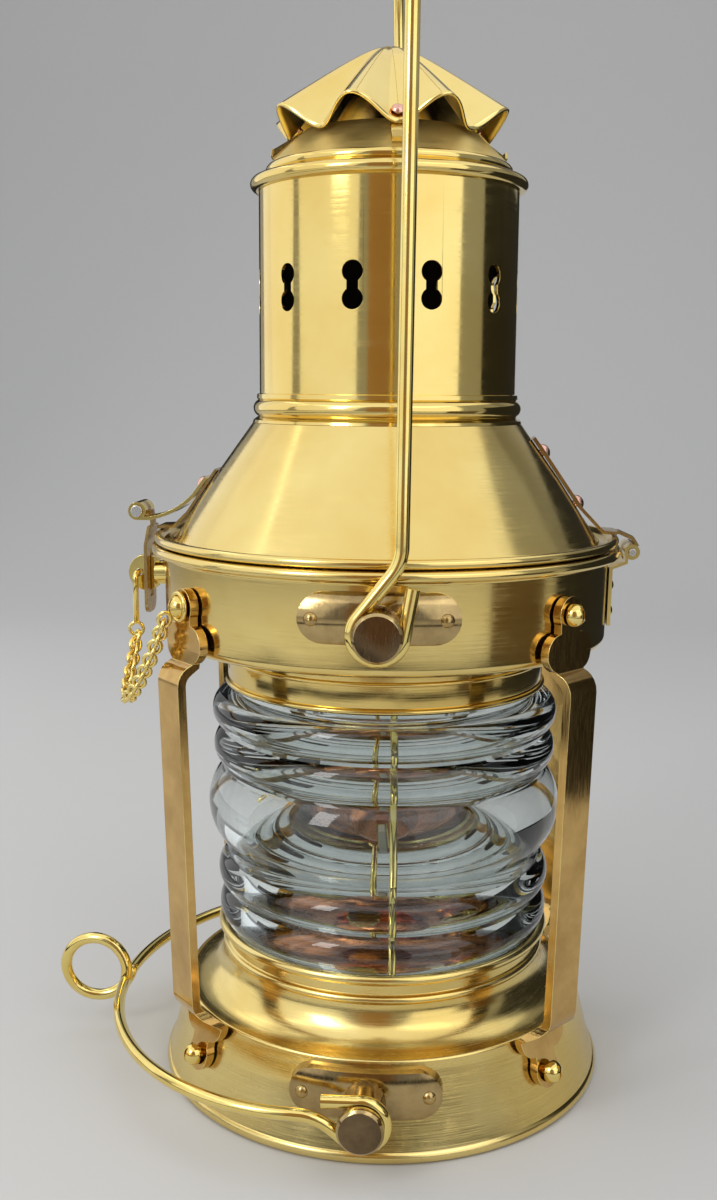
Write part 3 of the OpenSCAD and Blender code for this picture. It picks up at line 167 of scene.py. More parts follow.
# %% Flags
FLAG_TALL, KERB_H = 800, 42
black_card = paper("black_card", (0.012, 0.012, 0.012))
brown_card = paper("brown_card", (0.40, 0.23, 0.10))
dark_card = paper("dark_card", (0.13, 0.09, 0.05))
flags = (
    ("flag_right", black_card, (440, 0), (300, 520), 385),
    ("flag_left", black_card, (-330, 560), (-190, 760), FLAG_TALL),
    ("flag_front", brown_card, (-180, -760), (140, -760), FLAG_TALL),
    ("flag_back", black_card, (300, 520), (190, 760), FLAG_TALL),
    ("flag_low_right", dark_card, (430, -320), (560, -60), 190),
    ("kerb_left", black_card, (-480, 60), (-380, -300), KERB_H),
    ("kerb_front_left", black_card, (-380, -300), (0, -490), KERB_H),
    ("kerb_front", black_card, (0, -490), (380, -300), KERB_H),
    ("kerb_right", black_card, (380, -300), (480, 60), KERB_H),
)
for flag_name, card, (x0, y0), (x1, y1), flag_h in flags:
    flag = stage_card(flag_name, [(x0, y0, 0), (x1, y1, 0), (x1, y1, flag_h), (x0, y0, flag_h)], card)
    flag.visible_camera = False
    flag.visible_shadow = False
    flag.visible_diffuse = False
print("flags:", len(flags))


# %% Lamps
def soft_box(name, place_mm, aim_mm, size_mm, watts):
    """An area lamp that points at a spot, and isn't seen by the camera."""
    lamp = bpy.data.lights.new(name, "AREA")
    lamp.shape = "RECTANGLE"
    lamp.size, lamp.size_y = size_mm[0] * MM, size_mm[1] * MM
    lamp.energy = watts
    obj = bpy.data.objects.new(name, lamp)
    scene.collection.objects.link(obj)
    obj.location = Vector(place_mm) * MM
    obj.rotation_euler = (Vector(aim_mm) - Vector(place_mm)).to_track_quat("-Z", "Y").to_euler()
    obj.visible_camera = False


LAMP_AIM, TOP_AIM = (0, 0, 220), (0, 0, 200)
SKY_COLOUR, SKY_LEVEL = (0.9, 0.93, 1.0, 1), 0.34
soft_box("soft_box_left", (-728, -611, 570), LAMP_AIM, (1100, 1050), 2.5)
soft_box("soft_box_far_left", (-881, 356, 570), LAMP_AIM, (1000, 1050), 2.5)
soft_box("soft_box_window", (-492, -630, 640), LAMP_AIM, (200, 420), 1.7)
soft_box("soft_box_right", (672, -672, 560), LAMP_AIM, (850, 1050), 2.6)
soft_box("soft_box_top", (0, -100, 1350), TOP_AIM, (2400, 2400), 13.5)
world = bpy.data.worlds.new("studio")
world.use_nodes = True
sky = world.node_tree.nodes["Background"]
sky.inputs["Color"].default_value = SKY_COLOUR
sky.inputs["Strength"].default_value = SKY_LEVEL
scene.world = world
print("lamps:", len(bpy.data.lights))

# %% [markdown]
# ## Brass, copper and steel
# Spun brass carries fine rings from the spinning tool. A picture of brushed metal would have to be
# wrapped round each piece, so the rings are worked out instead: they follow the distance from the
# lamp's axis and the height, with a slow drift round the axis so that they break up. The same rings
# drive a faint bump and the roughness, and a broad noise gives warmer and paler patches.
# Straps and castings are darker and carry file strokes, and their broken edges are painted paler, as a
# painted highlight.


# %% Node helpers
def node(tree, kind, **values):
    """A new node of one kind, with its settings."""
    made = tree.nodes.new(kind)
    for key, value in values.items():
        setattr(made, key, value)
    return made


def math_node(tree, operation, a, b=None):
    """One sum on sockets or plain numbers."""
    made = node(tree, "ShaderNodeMath", operation=operation)
    for socket, value in zip(made.inputs, (a, b)):
        if value is None:
            continue
        if isinstance(value, (int, float)):
            socket.default_value = value
        else:
            tree.links.new(value, socket)
    return made.outputs[0]


def noise(tree, vector, scale, detail=3, roughness=0.5):
    """A noise pattern over the places that a vector gives."""
    made = node(tree, "ShaderNodeTexNoise")
    tree.links.new(vector, made.inputs["Vector"])
    made.inputs["Scale"].default_value = scale
    made.inputs["Detail"].default_value = detail
    made.inputs["Roughness"].default_value = roughness
    return made.outputs["Fac"]


def ramp(tree, factor, low, high, a, b):
    """Maps a factor between low and high onto values from a to b."""
    made = node(tree, "ShaderNodeMapRange")
    tree.links.new(factor, made.inputs["Value"])
    for name, value in zip(("From Min", "From Max", "To Min", "To Max"), (low, high, a, b)):
        made.inputs[name].default_value = value
    return made.outputs["Result"]


def mixed(tree, factor, a, b):
    """A colour between two plain colours."""
    made = node(tree, "ShaderNodeMix", data_type="RGBA")
    tree.links.new(factor, made.inputs[0])
    made.inputs[6].default_value = (*a, 1)
    made.inputs[7].default_value = (*b, 1)
    return made.outputs[2]


def bump(tree, height, shader, strength, distance_mm):
    """Tilts the shader's normal by a height."""
    made = node(tree, "ShaderNodeBump")
    made.inputs["Strength"].default_value = strength
    made.inputs["Distance"].default_value = distance_mm * MM
    tree.links.new(height, made.inputs["Height"])
    tree.links.new(made.outputs[0], shader.inputs["Normal"])


# %% Places on the lamp for the patterns
RING_DRIFT = 0.0012


def object_point(tree):
    """Coordinates in the piece's own space."""
    return node(tree, "ShaderNodeTexCoord").outputs["Object"]


def stretched(tree, vector, scale):
    """Coordinates scaled along each axis, which stretches a pattern."""
    made = node(tree, "ShaderNodeMapping")
    tree.links.new(vector, made.inputs["Vector"])
    made.inputs["Scale"].default_value = scale
    return made.outputs["Vector"]


def ring_point(tree):
    """Coordinates that hardly change round the lamp's axis: radius, a slow turn, and height."""
    parts = node(tree, "ShaderNodeSeparateXYZ")
    tree.links.new(object_point(tree), parts.inputs[0])
    x, y, z = parts.outputs
    x_squared = math_node(tree, "MULTIPLY", x, x)
    y_squared = math_node(tree, "MULTIPLY", y, y)
    radius = math_node(tree, "SQRT", math_node(tree, "ADD", x_squared, y_squared))
    slow = math_node(tree, "MULTIPLY", math_node(tree, "ARCTAN2", y, x), RING_DRIFT)
    joined = node(tree, "ShaderNodeCombineXYZ")
    for source, socket in zip((radius, slow, z), joined.inputs):
        tree.links.new(source, socket)
    return joined.outputs[0]


# %% Metals
WAVE_SHARE, SMEAR_DULL, RING_BUMP = 18, 0.07, 0.22
CAST_SHARE, STROKE_BUMP = 1.5, 0.3


def metal(name, roughness=0.2):
    """A bare metal, ready for its patterns."""
    material, tree, shader = fresh_material(name, roughness)
    shader.inputs["Metallic"].default_value = 1.0
    return material, tree, shader


def spun_metal(name, pale, deep, smooth, rough, ring_depth):
    """Sheet metal spun on a lathe, with its rings, its uneven polish and the slow waves of handwork."""
    material, tree, shader = metal(name)
    rings = noise(tree, ring_point(tree), scale=2600, detail=3, roughness=0.6)
    patches = noise(tree, object_point(tree), scale=22, detail=4, roughness=0.55)
    smears = noise(tree, object_point(tree), scale=140, detail=3, roughness=0.6)
    tall_point = stretched(tree, object_point(tree), (1, 1, 0.45))
    waves = noise(tree, tall_point, scale=55, detail=2, roughness=0.4)
    warmth = ramp(tree, patches, 0.35, 0.68, 0, 1)
    tree.links.new(mixed(tree, warmth, pale, deep), shader.inputs["Base Color"])
    ring_polish = ramp(tree, rings, 0.3, 0.75, smooth, rough)
    smear_polish = ramp(tree, smears, 0.5, 0.8, 0, SMEAR_DULL)
    tree.links.new(math_node(tree, "ADD", ring_polish, smear_polish), shader.inputs["Roughness"])
    height = math_node(tree, "ADD", rings, math_node(tree, "MULTIPLY", waves, WAVE_SHARE))
    bump(tree, height, shader, RING_BUMP, ring_depth)
    return material


def filed_metal(name, pale, deep, smooth, rough, stroke, depth_mm=0.02):
    """Metal dressed with a file or drawn as wire: strokes along one direction, and brown stain in patches.
    """
    material, tree, shader = metal(name)
    stroke_point = stretched(tree, object_point(tree), stroke)
    strokes = noise(tree, stroke_point, scale=2600, detail=2, roughness=0.55)
    cast = noise(tree, object_point(tree), scale=260, detail=3, roughness=0.55)
    stain = noise(tree, object_point(tree), scale=60, detail=5, roughness=0.65)
    browning = ramp(tree, stain, 0.38, 0.72, 0, 1)
    tree.links.new(mixed(tree, browning, pale, deep), shader.inputs["Base Color"])
    tree.links.new(ramp(tree, strokes, 0.3, 0.75, smooth, rough), shader.inputs["Roughness"])
    height = math_node(tree, "ADD", strokes, math_node(tree, "MULTIPLY", cast, CAST_SHARE))
    bump(tree, height, shader, STROKE_BUMP, depth_mm)
    return material


# %% Spun finishes
spun_brass = spun_metal("spun_brass", (0.87, 0.69, 0.26), (0.80, 0.58, 0.18), 0.05, 0.18, 0.018)
brushed_brass = spun_metal("brushed_brass", (0.84, 0.66, 0.25), (0.77, 0.55, 0.17), 0.08, 0.22, 0.022)
foot_brass = spun_metal("foot_brass", (0.87, 0.70, 0.29), (0.78, 0.57, 0.18), 0.13, 0.30, 0.03)
dulled_brass = spun_metal("dulled_brass", (0.90, 0.72, 0.29), (0.84, 0.62, 0.20), 0.42, 0.55, 0.03)
font_copper = spun_metal("font_copper", (0.74, 0.29, 0.12), (0.46, 0.17, 0.07), 0.18, 0.34, 0.03)
print("spun finishes ready")

# %% Filed, cast and drawn finishes
wire_brass = filed_metal(
    "wire_brass", (0.92, 0.74, 0.26), (0.84, 0.62, 0.18), 0.08, 0.16, (1, 1, 0.3), 0.003)
filed_brass = filed_metal(
    "filed_brass", (0.72, 0.47, 0.16), (0.50, 0.30, 0.09), 0.08, 0.22, (1, 1, 0.04), 0.014)
cast_brass = filed_metal(
    "cast_brass", (0.52, 0.38, 0.17), (0.24, 0.16, 0.07), 0.09, 0.22, (1, 1, 0.10), 0.016)
# Paler metal for the broken edges: a painted highlight.
highlight_edge_brass = filed_metal(
    "highlight_edge_brass", (0.92, 0.74, 0.30), (0.84, 0.62, 0.22), 0.16, 0.30, (1, 1, 0.2), 0.01)
# Near-black metal for the stud ends: a painted dark reflection.
dark_reflection_brass = filed_metal(
    "dark_reflection_brass", (0.22, 0.15, 0.08), (0.07, 0.05, 0.028), 0.14, 0.30, (1, 1, 0.12), 0.04)
dull_bronze = filed_metal(
    "dull_bronze", (0.54, 0.38, 0.15), (0.30, 0.19, 0.07), 0.16, 0.32, (1, 1, 0.2), 0.012)
copper = filed_metal("copper", (0.90, 0.54, 0.44), (0.72, 0.37, 0.28), 0.16, 0.32, (1, 1, 1))
bright_steel = filed_metal(
    "bright_steel", (0.74, 0.74, 0.73), (0.62, 0.62, 0.62), 0.18, 0.34, (1, 0.1, 1))
print("filed finishes ready")

# %% [markdown]
# ## Smoke, lamp black and painted shade
# A lamp that has burned is brown under the crown and black inside the chimney. Both places also lie in
# shade, and that shade is painted into the same dark colours. The smoke could be painted by hand, but it
# spreads from the flue, so it is made to fade with the distance from the axis, with a noise that frays its
# edge into wisp shapes, and leaves the crown's rim clean.

# %% Smoke, lamp black and painted shade
SMOKE_SHADE_FROM, SMOKE_SHADE_TO, SMOKE_SHADE_WISP_REACH = 28, 37, 12
# Darker towards the axis: smoke under the crown, and painted shade under the crown's overhang; the rim
# stays clean brass.
smoked_shaded_brass, smoke_shade_tree, smoke_shade_shader = metal("smoked_shaded_brass", 0.30)
smoke_shade_parts = node(smoke_shade_tree, "ShaderNodeSeparateXYZ")
smoke_shade_tree.links.new(ring_point(smoke_shade_tree), smoke_shade_parts.inputs[0])
smoke_shade_wisps = noise(smoke_shade_tree, object_point(smoke_shade_tree), scale=110, detail=4, roughness=0.6)
smoke_shade_drift = math_node(smoke_shade_tree, "MULTIPLY", smoke_shade_wisps, SMOKE_SHADE_WISP_REACH * MM)
smoke_shade_reach = math_node(smoke_shade_tree, "ADD", smoke_shade_parts.outputs[0], smoke_shade_drift)
smoke_shade_fade = ramp(smoke_shade_tree, smoke_shade_reach, SMOKE_SHADE_FROM * MM, SMOKE_SHADE_TO * MM, 0, 1)
smoke_shade_colour = mixed(smoke_shade_tree, smoke_shade_fade, (0.10, 0.065, 0.03), (0.88, 0.68, 0.25))
smoke_shade_tree.links.new(smoke_shade_colour, smoke_shade_shader.inputs["Base Color"])

# Near-black for the sooted inside of the chimney, which is also painted shade inside the tube.
soot_and_shade_black, soot_shade_tree, soot_shade_shader = fresh_material("soot_and_shade_black", 0.75)
soot_shade_mottle = noise(soot_shade_tree, object_point(soot_shade_tree), scale=240, detail=4, roughness=0.6)
soot_shade_colour = mixed(soot_shade_tree, soot_shade_mottle, (0.010, 0.009, 0.008), (0.045, 0.034, 0.022))
soot_shade_tree.links.new(soot_shade_colour, soot_shade_shader.inputs["Base Color"])
bump(soot_shade_tree, soot_shade_mottle, soot_shade_shader, strength=0.3, distance_mm=0.1)
print("smoke and soot ready")

# %% [markdown]
# ## Glass and wick
# The glass is pressed, so its surface has slow waves. It could be a thin see-through skin, but the ribs
# only look right when light is bent by the whole wall. A Principled shader with full transmission does
# that, and a slight grey green tint comes from its colour. The wick is flat woven cotton.

# %% Glass and cotton
GLASS_IOR = 1.5
clear_glass, glass_tree, glass_shader = fresh_material("clear_glass", 0.0)
glass_shader.inputs["Base Color"].default_value = (0.76, 0.82, 0.81, 1)
glass_shader.inputs["IOR"].default_value = GLASS_IOR
glass_shader.inputs["Transmission Weight"].default_value = 1.0
press_waves = noise(glass_tree, object_point(glass_tree), scale=60, detail=2)
bump(glass_tree, press_waves, glass_shader, strength=0.02, distance_mm=0.3)

cotton, cotton_tree, cotton_shader = fresh_material("cotton", 0.9)
thread_point = stretched(cotton_tree, object_point(cotton_tree), (1, 1, 0.35))
weave = noise(cotton_tree, thread_point, scale=1500, detail=2)
cotton_colour = mixed(cotton_tree, weave, (0.86, 0.81, 0.68), (0.62, 0.56, 0.44))
cotton_tree.links.new(cotton_colour, cotton_shader.inputs["Base Color"])
bump(cotton_tree, weave, cotton_shader, strength=0.6, distance_mm=0.3)
print("glass and cotton ready")

# %% [markdown]
# ## Sizes
# These are the radii and heights of the lamp from the table up, repeated from the part's source because
# this script can't read it. They could all be plain heights, but from the band up they are written as
# sums, so that each rim sits on the one below.

# %% Sizes
SHEET = 1.2
FOOT_R, FOOT_BEAD = 80, 2.2
DECK_R, DECK_Z = 71.5, 31.5
COLLAR_R, COLLAR_Z = 57.2, 44
SEAT_Z, GLASS_TOP, GLASS_IN = 46, 149.6, 51
FLOOR_Z = 158.6
BAND_R, BAND_TOP = 78, 188.6
BEAD_R, BEAD_H = 82.5, 1.75
BEAD_Z = BAND_TOP + BEAD_H
LID_GAP, FLANGE_H, CONE_H, CHIMNEY_H = 0.3, 3.2, 38, 78
LID_Z = BEAD_Z + BEAD_H + LID_GAP
CONE_Z = LID_Z + FLANGE_H
NECK_Z = CONE_Z + CONE_H
CHIMNEY_TOP = NECK_Z + CHIMNEY_H
FLANGE_R, CONE_R, CHIMNEY_R, CAP_R = 81.5, 73.2, 44.4, 47.3
CONE_TOP_R = CHIMNEY_R + 2.4
UPPER_STUD_Z, BASE_STUD_Z = FLOOR_Z + 16.4, 20.8
print("table to chimney top:", round(CHIMNEY_TOP, 1), "mm")


# %% Outline helpers
def arc(x, z, radius, start, end, steps):
    """Points on an arc round x and z, between two angles in degrees."""
    angles = [math.radians(start + (end - start) * i / steps) for i in range(steps + 1)]
    return [(x + radius * math.cos(a), z + radius * math.sin(a)) for a in angles]


def bow(p, q, rise, steps):
    """An arc from p to q that stands out on the right of its way."""
    dx, dz = q[0] - p[0], q[1] - p[1]
    length = math.hypot(dx, dz)
    radius = (length * length / 4 + rise * rise) / (2 * rise)
    half = math.degrees(math.asin(length / 2 / radius))
    out = (dz / length, -dx / length)
    x = (p[0] + q[0]) / 2 + out[0] * (rise - radius)
    z = (p[1] + q[1]) / 2 + out[1] * (rise - radius)
    middle = math.degrees(math.atan2(out[1], out[0]))
    return arc(x, z, radius, middle - half, middle + half, steps)


def mix(a, b, k):
    """A value part of the way from a to b."""
    return a + (b - a) * k


def sheet_outline(path, thick):
    """A closed outline of sheet metal: the path as its outside, and its inside offset to the left."""
    inner = []
    for i, p in enumerate(path):
        a, b = path[max(i - 1, 0)], path[min(i + 1, len(path) - 1)]
        length = math.hypot(b[0] - a[0], b[1] - a[1])
        inner.append((p[0] - (b[1] - a[1]) / length * thick, p[1] + (b[0] - a[0]) / length * thick))
    return list(path) + inner[::-1]


# %% [markdown]
# ## Spun pieces
# The sheet is pressed over a turning former, so each piece is a profile swept round the axis. A stack
# of cylinders and cones would need its joins smoothed, so the way of the lathe is followed here: the
# outline of the sheet is drawn as a closed loop and bmesh's spin turns it once round.


# %% Spun piece helpers
def dress(piece, material, body, slot, *replaced):
    """Gives a piece its material, its body and the CAD nodes that it stands for; the record slot is not
    used.
    """
    piece.data.materials.clear()
    piece.data.materials.append(material)
    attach(piece, body)
    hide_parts(*replaced)
    return piece


def spun(name, outlines, steps=180, crease=32):
    """One piece from closed outlines of radius and height, each spun round the lamp's axis."""
    bm = bmesh.new()
    for outline in outlines:
        verts = [bm.verts.new((r * MM, 0, z * MM)) for r, z in outline]
        edges = [bm.edges.new((a, b)) for a, b in zip(verts, verts[1:] + verts[:1])]
        bmesh.ops.spin(bm, geom=verts + edges, cent=(0, 0, 0), axis=(0, 0, 1), angle=math.tau,
                       steps=steps, use_merge=True)
    bmesh.ops.remove_doubles(bm, verts=bm.verts, dist=1e-7)
    bmesh.ops.recalc_face_normals(bm, faces=bm.faces)
    print(name, len(bm.faces), "faces")
    return mesh_object(name, bm, crease)


# %% [markdown]
# ## Base
# The foot is rolled over a wire at its rim, rises in a sloping wall, turns over a crisp edge and sweeps
# up in a hollow curve to the collar that holds the glass. Rim, wall and deck could be three pieces, but
# the real one is a single sheet, so one path follows all of that from the roll to the collar. The
# gallery ring on it has a bead at its foot and a rolled lip round the glass.

# %% Base
KNEE_Z, EDGE_R, BASE_SHEET = 11, 0.95, SHEET * 0.8
foot_path = arc(FOOT_R - FOOT_BEAD, FOOT_BEAD, FOOT_BEAD, -200, 60, 14)
foot_path += [(DECK_R + 5.1, KNEE_Z), (DECK_R + 0.9, DECK_Z - 3.4)]
foot_path += arc(DECK_R - 0.6, DECK_Z - 0.6, EDGE_R, -10, 100, 6)
for a in range(5, 91, 5):
    across, up = math.sin(math.radians(a)), 1 - math.cos(math.radians(a))
    foot_path.append((mix(DECK_R, COLLAR_R, across), mix(DECK_Z, COLLAR_Z, up)))
base = spun("foot_and_deck", [sheet_outline(foot_path, BASE_SHEET)])
dress(base, foot_brass, "lantern", "polished_brass", "base_pan")

# %% Lower gallery
STEP_BEAD, LIP_R, LIP_Z, LIP_IN = 1.5, 1.8, 53, 55.8
lower_ring = [(GLASS_IN, COLLAR_Z), (COLLAR_R, COLLAR_Z)]
lower_ring += arc(COLLAR_R + 0.1, COLLAR_Z + STEP_BEAD, STEP_BEAD, -80, 80, 10)
lower_ring += [(COLLAR_R, COLLAR_Z + 3.4), (COLLAR_R, LIP_Z - 1.6)]
lower_ring += arc(COLLAR_R + 1.3, LIP_Z, LIP_R, -130, 140, 16)
lower_ring += [(LIP_IN + 0.6, LIP_Z + 0.3), (LIP_IN, LIP_Z), (LIP_IN, SEAT_Z), (GLASS_IN, SEAT_Z)]
lower_piece = spun("lower_gallery_ring", [lower_ring])
dress(lower_piece, foot_brass, "lantern", "polished_brass", "lower_gallery")

# %% [markdown]
# ## Glass
# The glass is one ribbed lens: two ribs, a wide belt, and two more ribs, between a plain foot and a
# plain neck. Ribs could be added as rings on a tube, but glass is one body, so each rib is an arc of the
# one outline, and the hollow between two arcs is left sharp, as the press left it.

# %% Glass
GLASS_R, GLASS_TAPER, RIB_STEPS = 57.5, 3, 18
GLASS_NECK_R, GLASS_FOOT_R, GLASS_FOOT = 53.5, 55.2, 8
RIB, RIB_OUT, RIB_GAP = 12, 3.4, 1.2
BELT, BELT_OUT, BELT_GAP = 28, 6, 5
NECK_GAP = 2


def glass_radius(z):
    """The radius between the ribs, which grows a little with height."""
    return GLASS_R + GLASS_TAPER * ((z - SEAT_Z) / (GLASS_TOP - SEAT_Z) - 0.5)


ribs = ((RIB, RIB_OUT, RIB_GAP), (RIB, RIB_OUT, BELT_GAP), (BELT, BELT_OUT, RIB_GAP),
        (RIB, RIB_OUT, RIB_GAP), (RIB, RIB_OUT, NECK_GAP))
glass_line = [(GLASS_IN + 0.2, SEAT_Z + 0.05), (GLASS_FOOT_R, SEAT_Z + 0.05)]
glass_line.append((GLASS_FOOT_R + 0.2, SEAT_Z + GLASS_FOOT - 1))
rib_z = SEAT_Z + GLASS_FOOT
for rib_h, rib_out, gap in ribs:
    rib_top = rib_z + rib_h
    glass_line += bow((glass_radius(rib_z), rib_z), (glass_radius(rib_top), rib_top), rib_out, RIB_STEPS)
    rib_z = rib_top + gap
glass_line += [(GLASS_NECK_R + 0.9, rib_z - 1.4), (GLASS_NECK_R, rib_z), (GLASS_NECK_R, GLASS_TOP - 0.6),
               (GLASS_NECK_R - 0.6, GLASS_TOP), (GLASS_IN + 0.4, GLASS_TOP), (GLASS_IN, GLASS_TOP - 0.6),
               (GLASS_IN, SEAT_Z + 0.5)]
glass_piece = spun("ribbed_glass", [glass_line], steps=192, crease=50)
dress(glass_piece, clear_glass, "lantern", "clear_glass", "glass_lens")

# %% [markdown]
# ## Upper gallery and band
# A ring with two small beads holds the glass neck. The band above it is a plain cylinder with a rounded
# lower corner and a bead at its top on which the lid rests. Both are turned from one outline each,
# because a bead that is part of the sheet has no seam to hide.

# %% Upper gallery
GALLERY_R, GALLERY_IN, GALLERY_FLANGE = 56.3, 53.9, 60.3
LOW_BEAD, LOW_BEAD_Z, HIGH_BEAD, HIGH_BEAD_Z, LEDGE_Z = 1.0, 143.1, 0.8, 152.1, 150.1
flange_low, flange_top = FLOOR_Z + SHEET, FLOOR_Z + 2 * SHEET
gallery = [(GLASS_IN, LEDGE_Z), (GALLERY_IN, LEDGE_Z), (GALLERY_IN, LOW_BEAD_Z - 0.9)]
gallery += arc(GALLERY_R, LOW_BEAD_Z, LOW_BEAD, -110, 100, 8)
gallery += [(GALLERY_R, LOW_BEAD_Z + 1.9), (GALLERY_R, HIGH_BEAD_Z - 1.5)]
gallery += arc(GALLERY_R, HIGH_BEAD_Z, HIGH_BEAD, -90, 90, 6)
gallery += [(GALLERY_R, HIGH_BEAD_Z + 1.3), (GALLERY_R, flange_low)]
gallery += [(GALLERY_FLANGE, flange_low), (GALLERY_FLANGE, flange_top), (GALLERY_IN, flange_top)]
gallery += [(GALLERY_IN, LEDGE_Z + SHEET), (GLASS_IN, LEDGE_Z + SHEET)]
gallery_piece = spun("upper_gallery_ring", [gallery])
dress(gallery_piece, brushed_brass, "lantern", "polished_brass", "upper_gallery")

# %% Band
BAND_SHEET, BAND_MID, CORNER_R, HOLLOW_R = 0.9, 175, 3, 1.2
band_path = [(GALLERY_R + 0.1, FLOOR_Z), (BAND_R - 3.6, FLOOR_Z)]
band_path += arc(BAND_R - 3.4, FLOOR_Z + CORNER_R, CORNER_R, -85, 0, 8)
band_path += [(BAND_R - 0.2, BAND_MID), (BAND_R, BAND_TOP - 1.4)]
band_path += arc(BAND_R + HOLLOW_R, BAND_TOP - HOLLOW_R, HOLLOW_R, 180, 100, 4)
band_path.append((BEAD_R - BEAD_H - 1, BAND_TOP))
band_path += arc(BEAD_R - BEAD_H, BEAD_Z, BEAD_H, -95, 150, 14)
band = spun("band_and_bead", [sheet_outline(band_path, BAND_SHEET)])
dress(band, brushed_brass, "lantern", "polished_brass", "top_band")

# %% [markdown]
# ## Lid
# The lid is a flange with a rolled edge, a spigot that drops inside the band, and a cone. A bead stands
# where the chimney leaves the cone. A dead straight cone would be simplest, but spun sheet is never quite
# straight, so this one bellies out by about a third of a millimetre, which bends what it mirrors.

# %% Lid
LID_SHEET, ROLL_R, CONE_BELLY = 0.7, 1.6, 0.36
SPIGOT_IN, SPIGOT_R, SPIGOT_DROP = 74.8, 76, 4.5
cone_path = arc(FLANGE_R - ROLL_R, LID_Z + ROLL_R, ROLL_R, -120, 120, 14)
cone_path += [(FLANGE_R - 3.6, LID_Z + 1.3), (CONE_R + 2, LID_Z + 1.2)]
cone_path += arc(CONE_R + 1.9, LID_Z + 2.6, 1.4, -95, -145, 4) + [(CONE_R + 0.1, CONE_Z - 0.6)]
cone_path.append((mix(CONE_R, CONE_TOP_R, 0.5) + CONE_BELLY, mix(CONE_Z, NECK_Z, 0.5)))
cone_path.append((CONE_TOP_R, NECK_Z))
spigot = [(SPIGOT_IN, LID_Z - SPIGOT_DROP), (SPIGOT_R, LID_Z - SPIGOT_DROP), (SPIGOT_R, LID_Z + 0.8),
          (SPIGOT_IN, LID_Z + 0.8)]
lid_piece = spun("flange_and_cone", [sheet_outline(cone_path, LID_SHEET), spigot])
dress(lid_piece, brushed_brass, "lid", "polished_brass", "lid_cone")

# %% Neck bead
NECK_BEAD_R = 3.2
collar_in = CHIMNEY_R + 0.1
bead_in = CHIMNEY_R + 2.2 - NECK_BEAD_R
collar_path = [(CONE_TOP_R + 0.1, NECK_Z + 0.1), (CONE_TOP_R - 0.2, NECK_Z + 1)]
collar_path.append((collar_in + 1.1, NECK_Z + 1.7))
collar_path += arc(bead_in, NECK_Z + 5, NECK_BEAD_R, -62, 62, 14)
collar_path += [(collar_in + 0.9, NECK_Z + 8.3), (collar_in + 0.8, NECK_Z + 9.7)]
collar_path += [(collar_in + 0.3, NECK_Z + 9.9), (collar_in, NECK_Z + 9.7), (collar_in, NECK_Z + 0.1)]
dress(spun("neck_bead", [collar_path]), spun_brass, "lid", "polished_brass", "neck_collar")

# %% [markdown]
# ## Chimney
# Dumbbell vents are punched through the tube. Cutting the faces by hand would take long, so a Boolean with
# a set of punches does it, and the rims of the cuts are broken by a small bevel. A cut leaves long thin
# faces on a mirror-like tube, so the corner normals are then set to point straight out from the axis.
# Sooted black, which also paints the shade inside the tube, goes on the faces that look inwards.

# %% Chimney tube and punches
VENTS, VENT_PHASE, VENT_MID = 11, -101, NECK_Z + 44
VENT_D, VENT_PITCH, VENT_WAIST = 6.75, 8.4, 3.7
PUNCH_L, WAIST_L, PUNCH_SIDES = 12, 11, 40
tube_low, tube_in = NECK_Z - 3, CHIMNEY_R - SHEET
tube_outline = [(tube_in, tube_low), (CHIMNEY_R, tube_low), (CHIMNEY_R, CHIMNEY_TOP),
                (tube_in, CHIMNEY_TOP)]
chimney = spun("chimney_tube", [tube_outline], steps=220)
punch = bmesh.new()
lying = Matrix.Rotation(math.pi / 2, 4, "Y")
at_wall = Matrix.Translation((CHIMNEY_R * MM, 0, VENT_MID * MM))
waist = Matrix.Diagonal((WAIST_L * MM, VENT_WAIST * MM, VENT_PITCH * MM, 1))
for k in range(VENTS):
    spot = Matrix.Rotation(math.radians(VENT_PHASE + 360 * k / VENTS), 4, "Z") @ at_wall
    for end in (-1, 1):
        lifted = Matrix.Translation((0, 0, end * VENT_PITCH / 2 * MM))
        bmesh.ops.create_cone(punch, cap_ends=True, segments=PUNCH_SIDES, radius1=VENT_D / 2 * MM,
                              radius2=VENT_D / 2 * MM, depth=PUNCH_L * MM, matrix=spot @ lifted @ lying)
    bmesh.ops.create_cube(punch, size=1, matrix=spot @ waist)
punch_obj = mesh_object("punch", punch)
print("vents to punch:", VENTS)

# %% Punch the vents
cut = chimney.modifiers.new("vents", "BOOLEAN")
cut.operation = "DIFFERENCE"
cut.object = punch_obj
cut.use_self = True
bpy.context.view_layer.update()
punched = chimney.evaluated_get(bpy.context.evaluated_depsgraph_get())
cut_mesh = bpy.data.meshes.new_from_object(punched)
chimney.modifiers.clear()
chimney.data = cut_mesh
bpy.data.objects.remove(punch_obj)
print("punched tube:", len(cut_mesh.polygons), "faces")

# %% Break the rims of the vents
VENT_REACH, RIM_BREAK = 20, 0.45


def facing_out(face):
    """How squarely a face looks away from the lamp's axis, from 1 to -1."""
    at = face.calc_center_median()
    return face.normal.dot(Vector((at.x, at.y, 0)).normalized())


def is_vent_rim(edge):
    """Whether the outside of the tube meets the wall of a cut at this edge."""
    if len(edge.link_faces) != 2 or abs(edge.verts[0].co.z / MM - VENT_MID) >= VENT_REACH:
        return False
    inner, outer = sorted(facing_out(face) for face in edge.link_faces)
    return outer > 0.9 and inner < 0.5


rims = bmesh.new()
rims.from_mesh(cut_mesh)
bmesh.ops.remove_doubles(rims, verts=rims.verts, dist=1e-6)
vent_rims = [edge for edge in rims.edges if is_vent_rim(edge)]
bmesh.ops.bevel(rims, geom=vent_rims, offset=RIM_BREAK * MM, offset_type="OFFSET", segments=2, profile=0.5,
                affect="EDGES", material=-1, clamp_overlap=True)
rims.to_mesh(cut_mesh)
rims.free()
print("rim edges broken:", len(vent_rims))

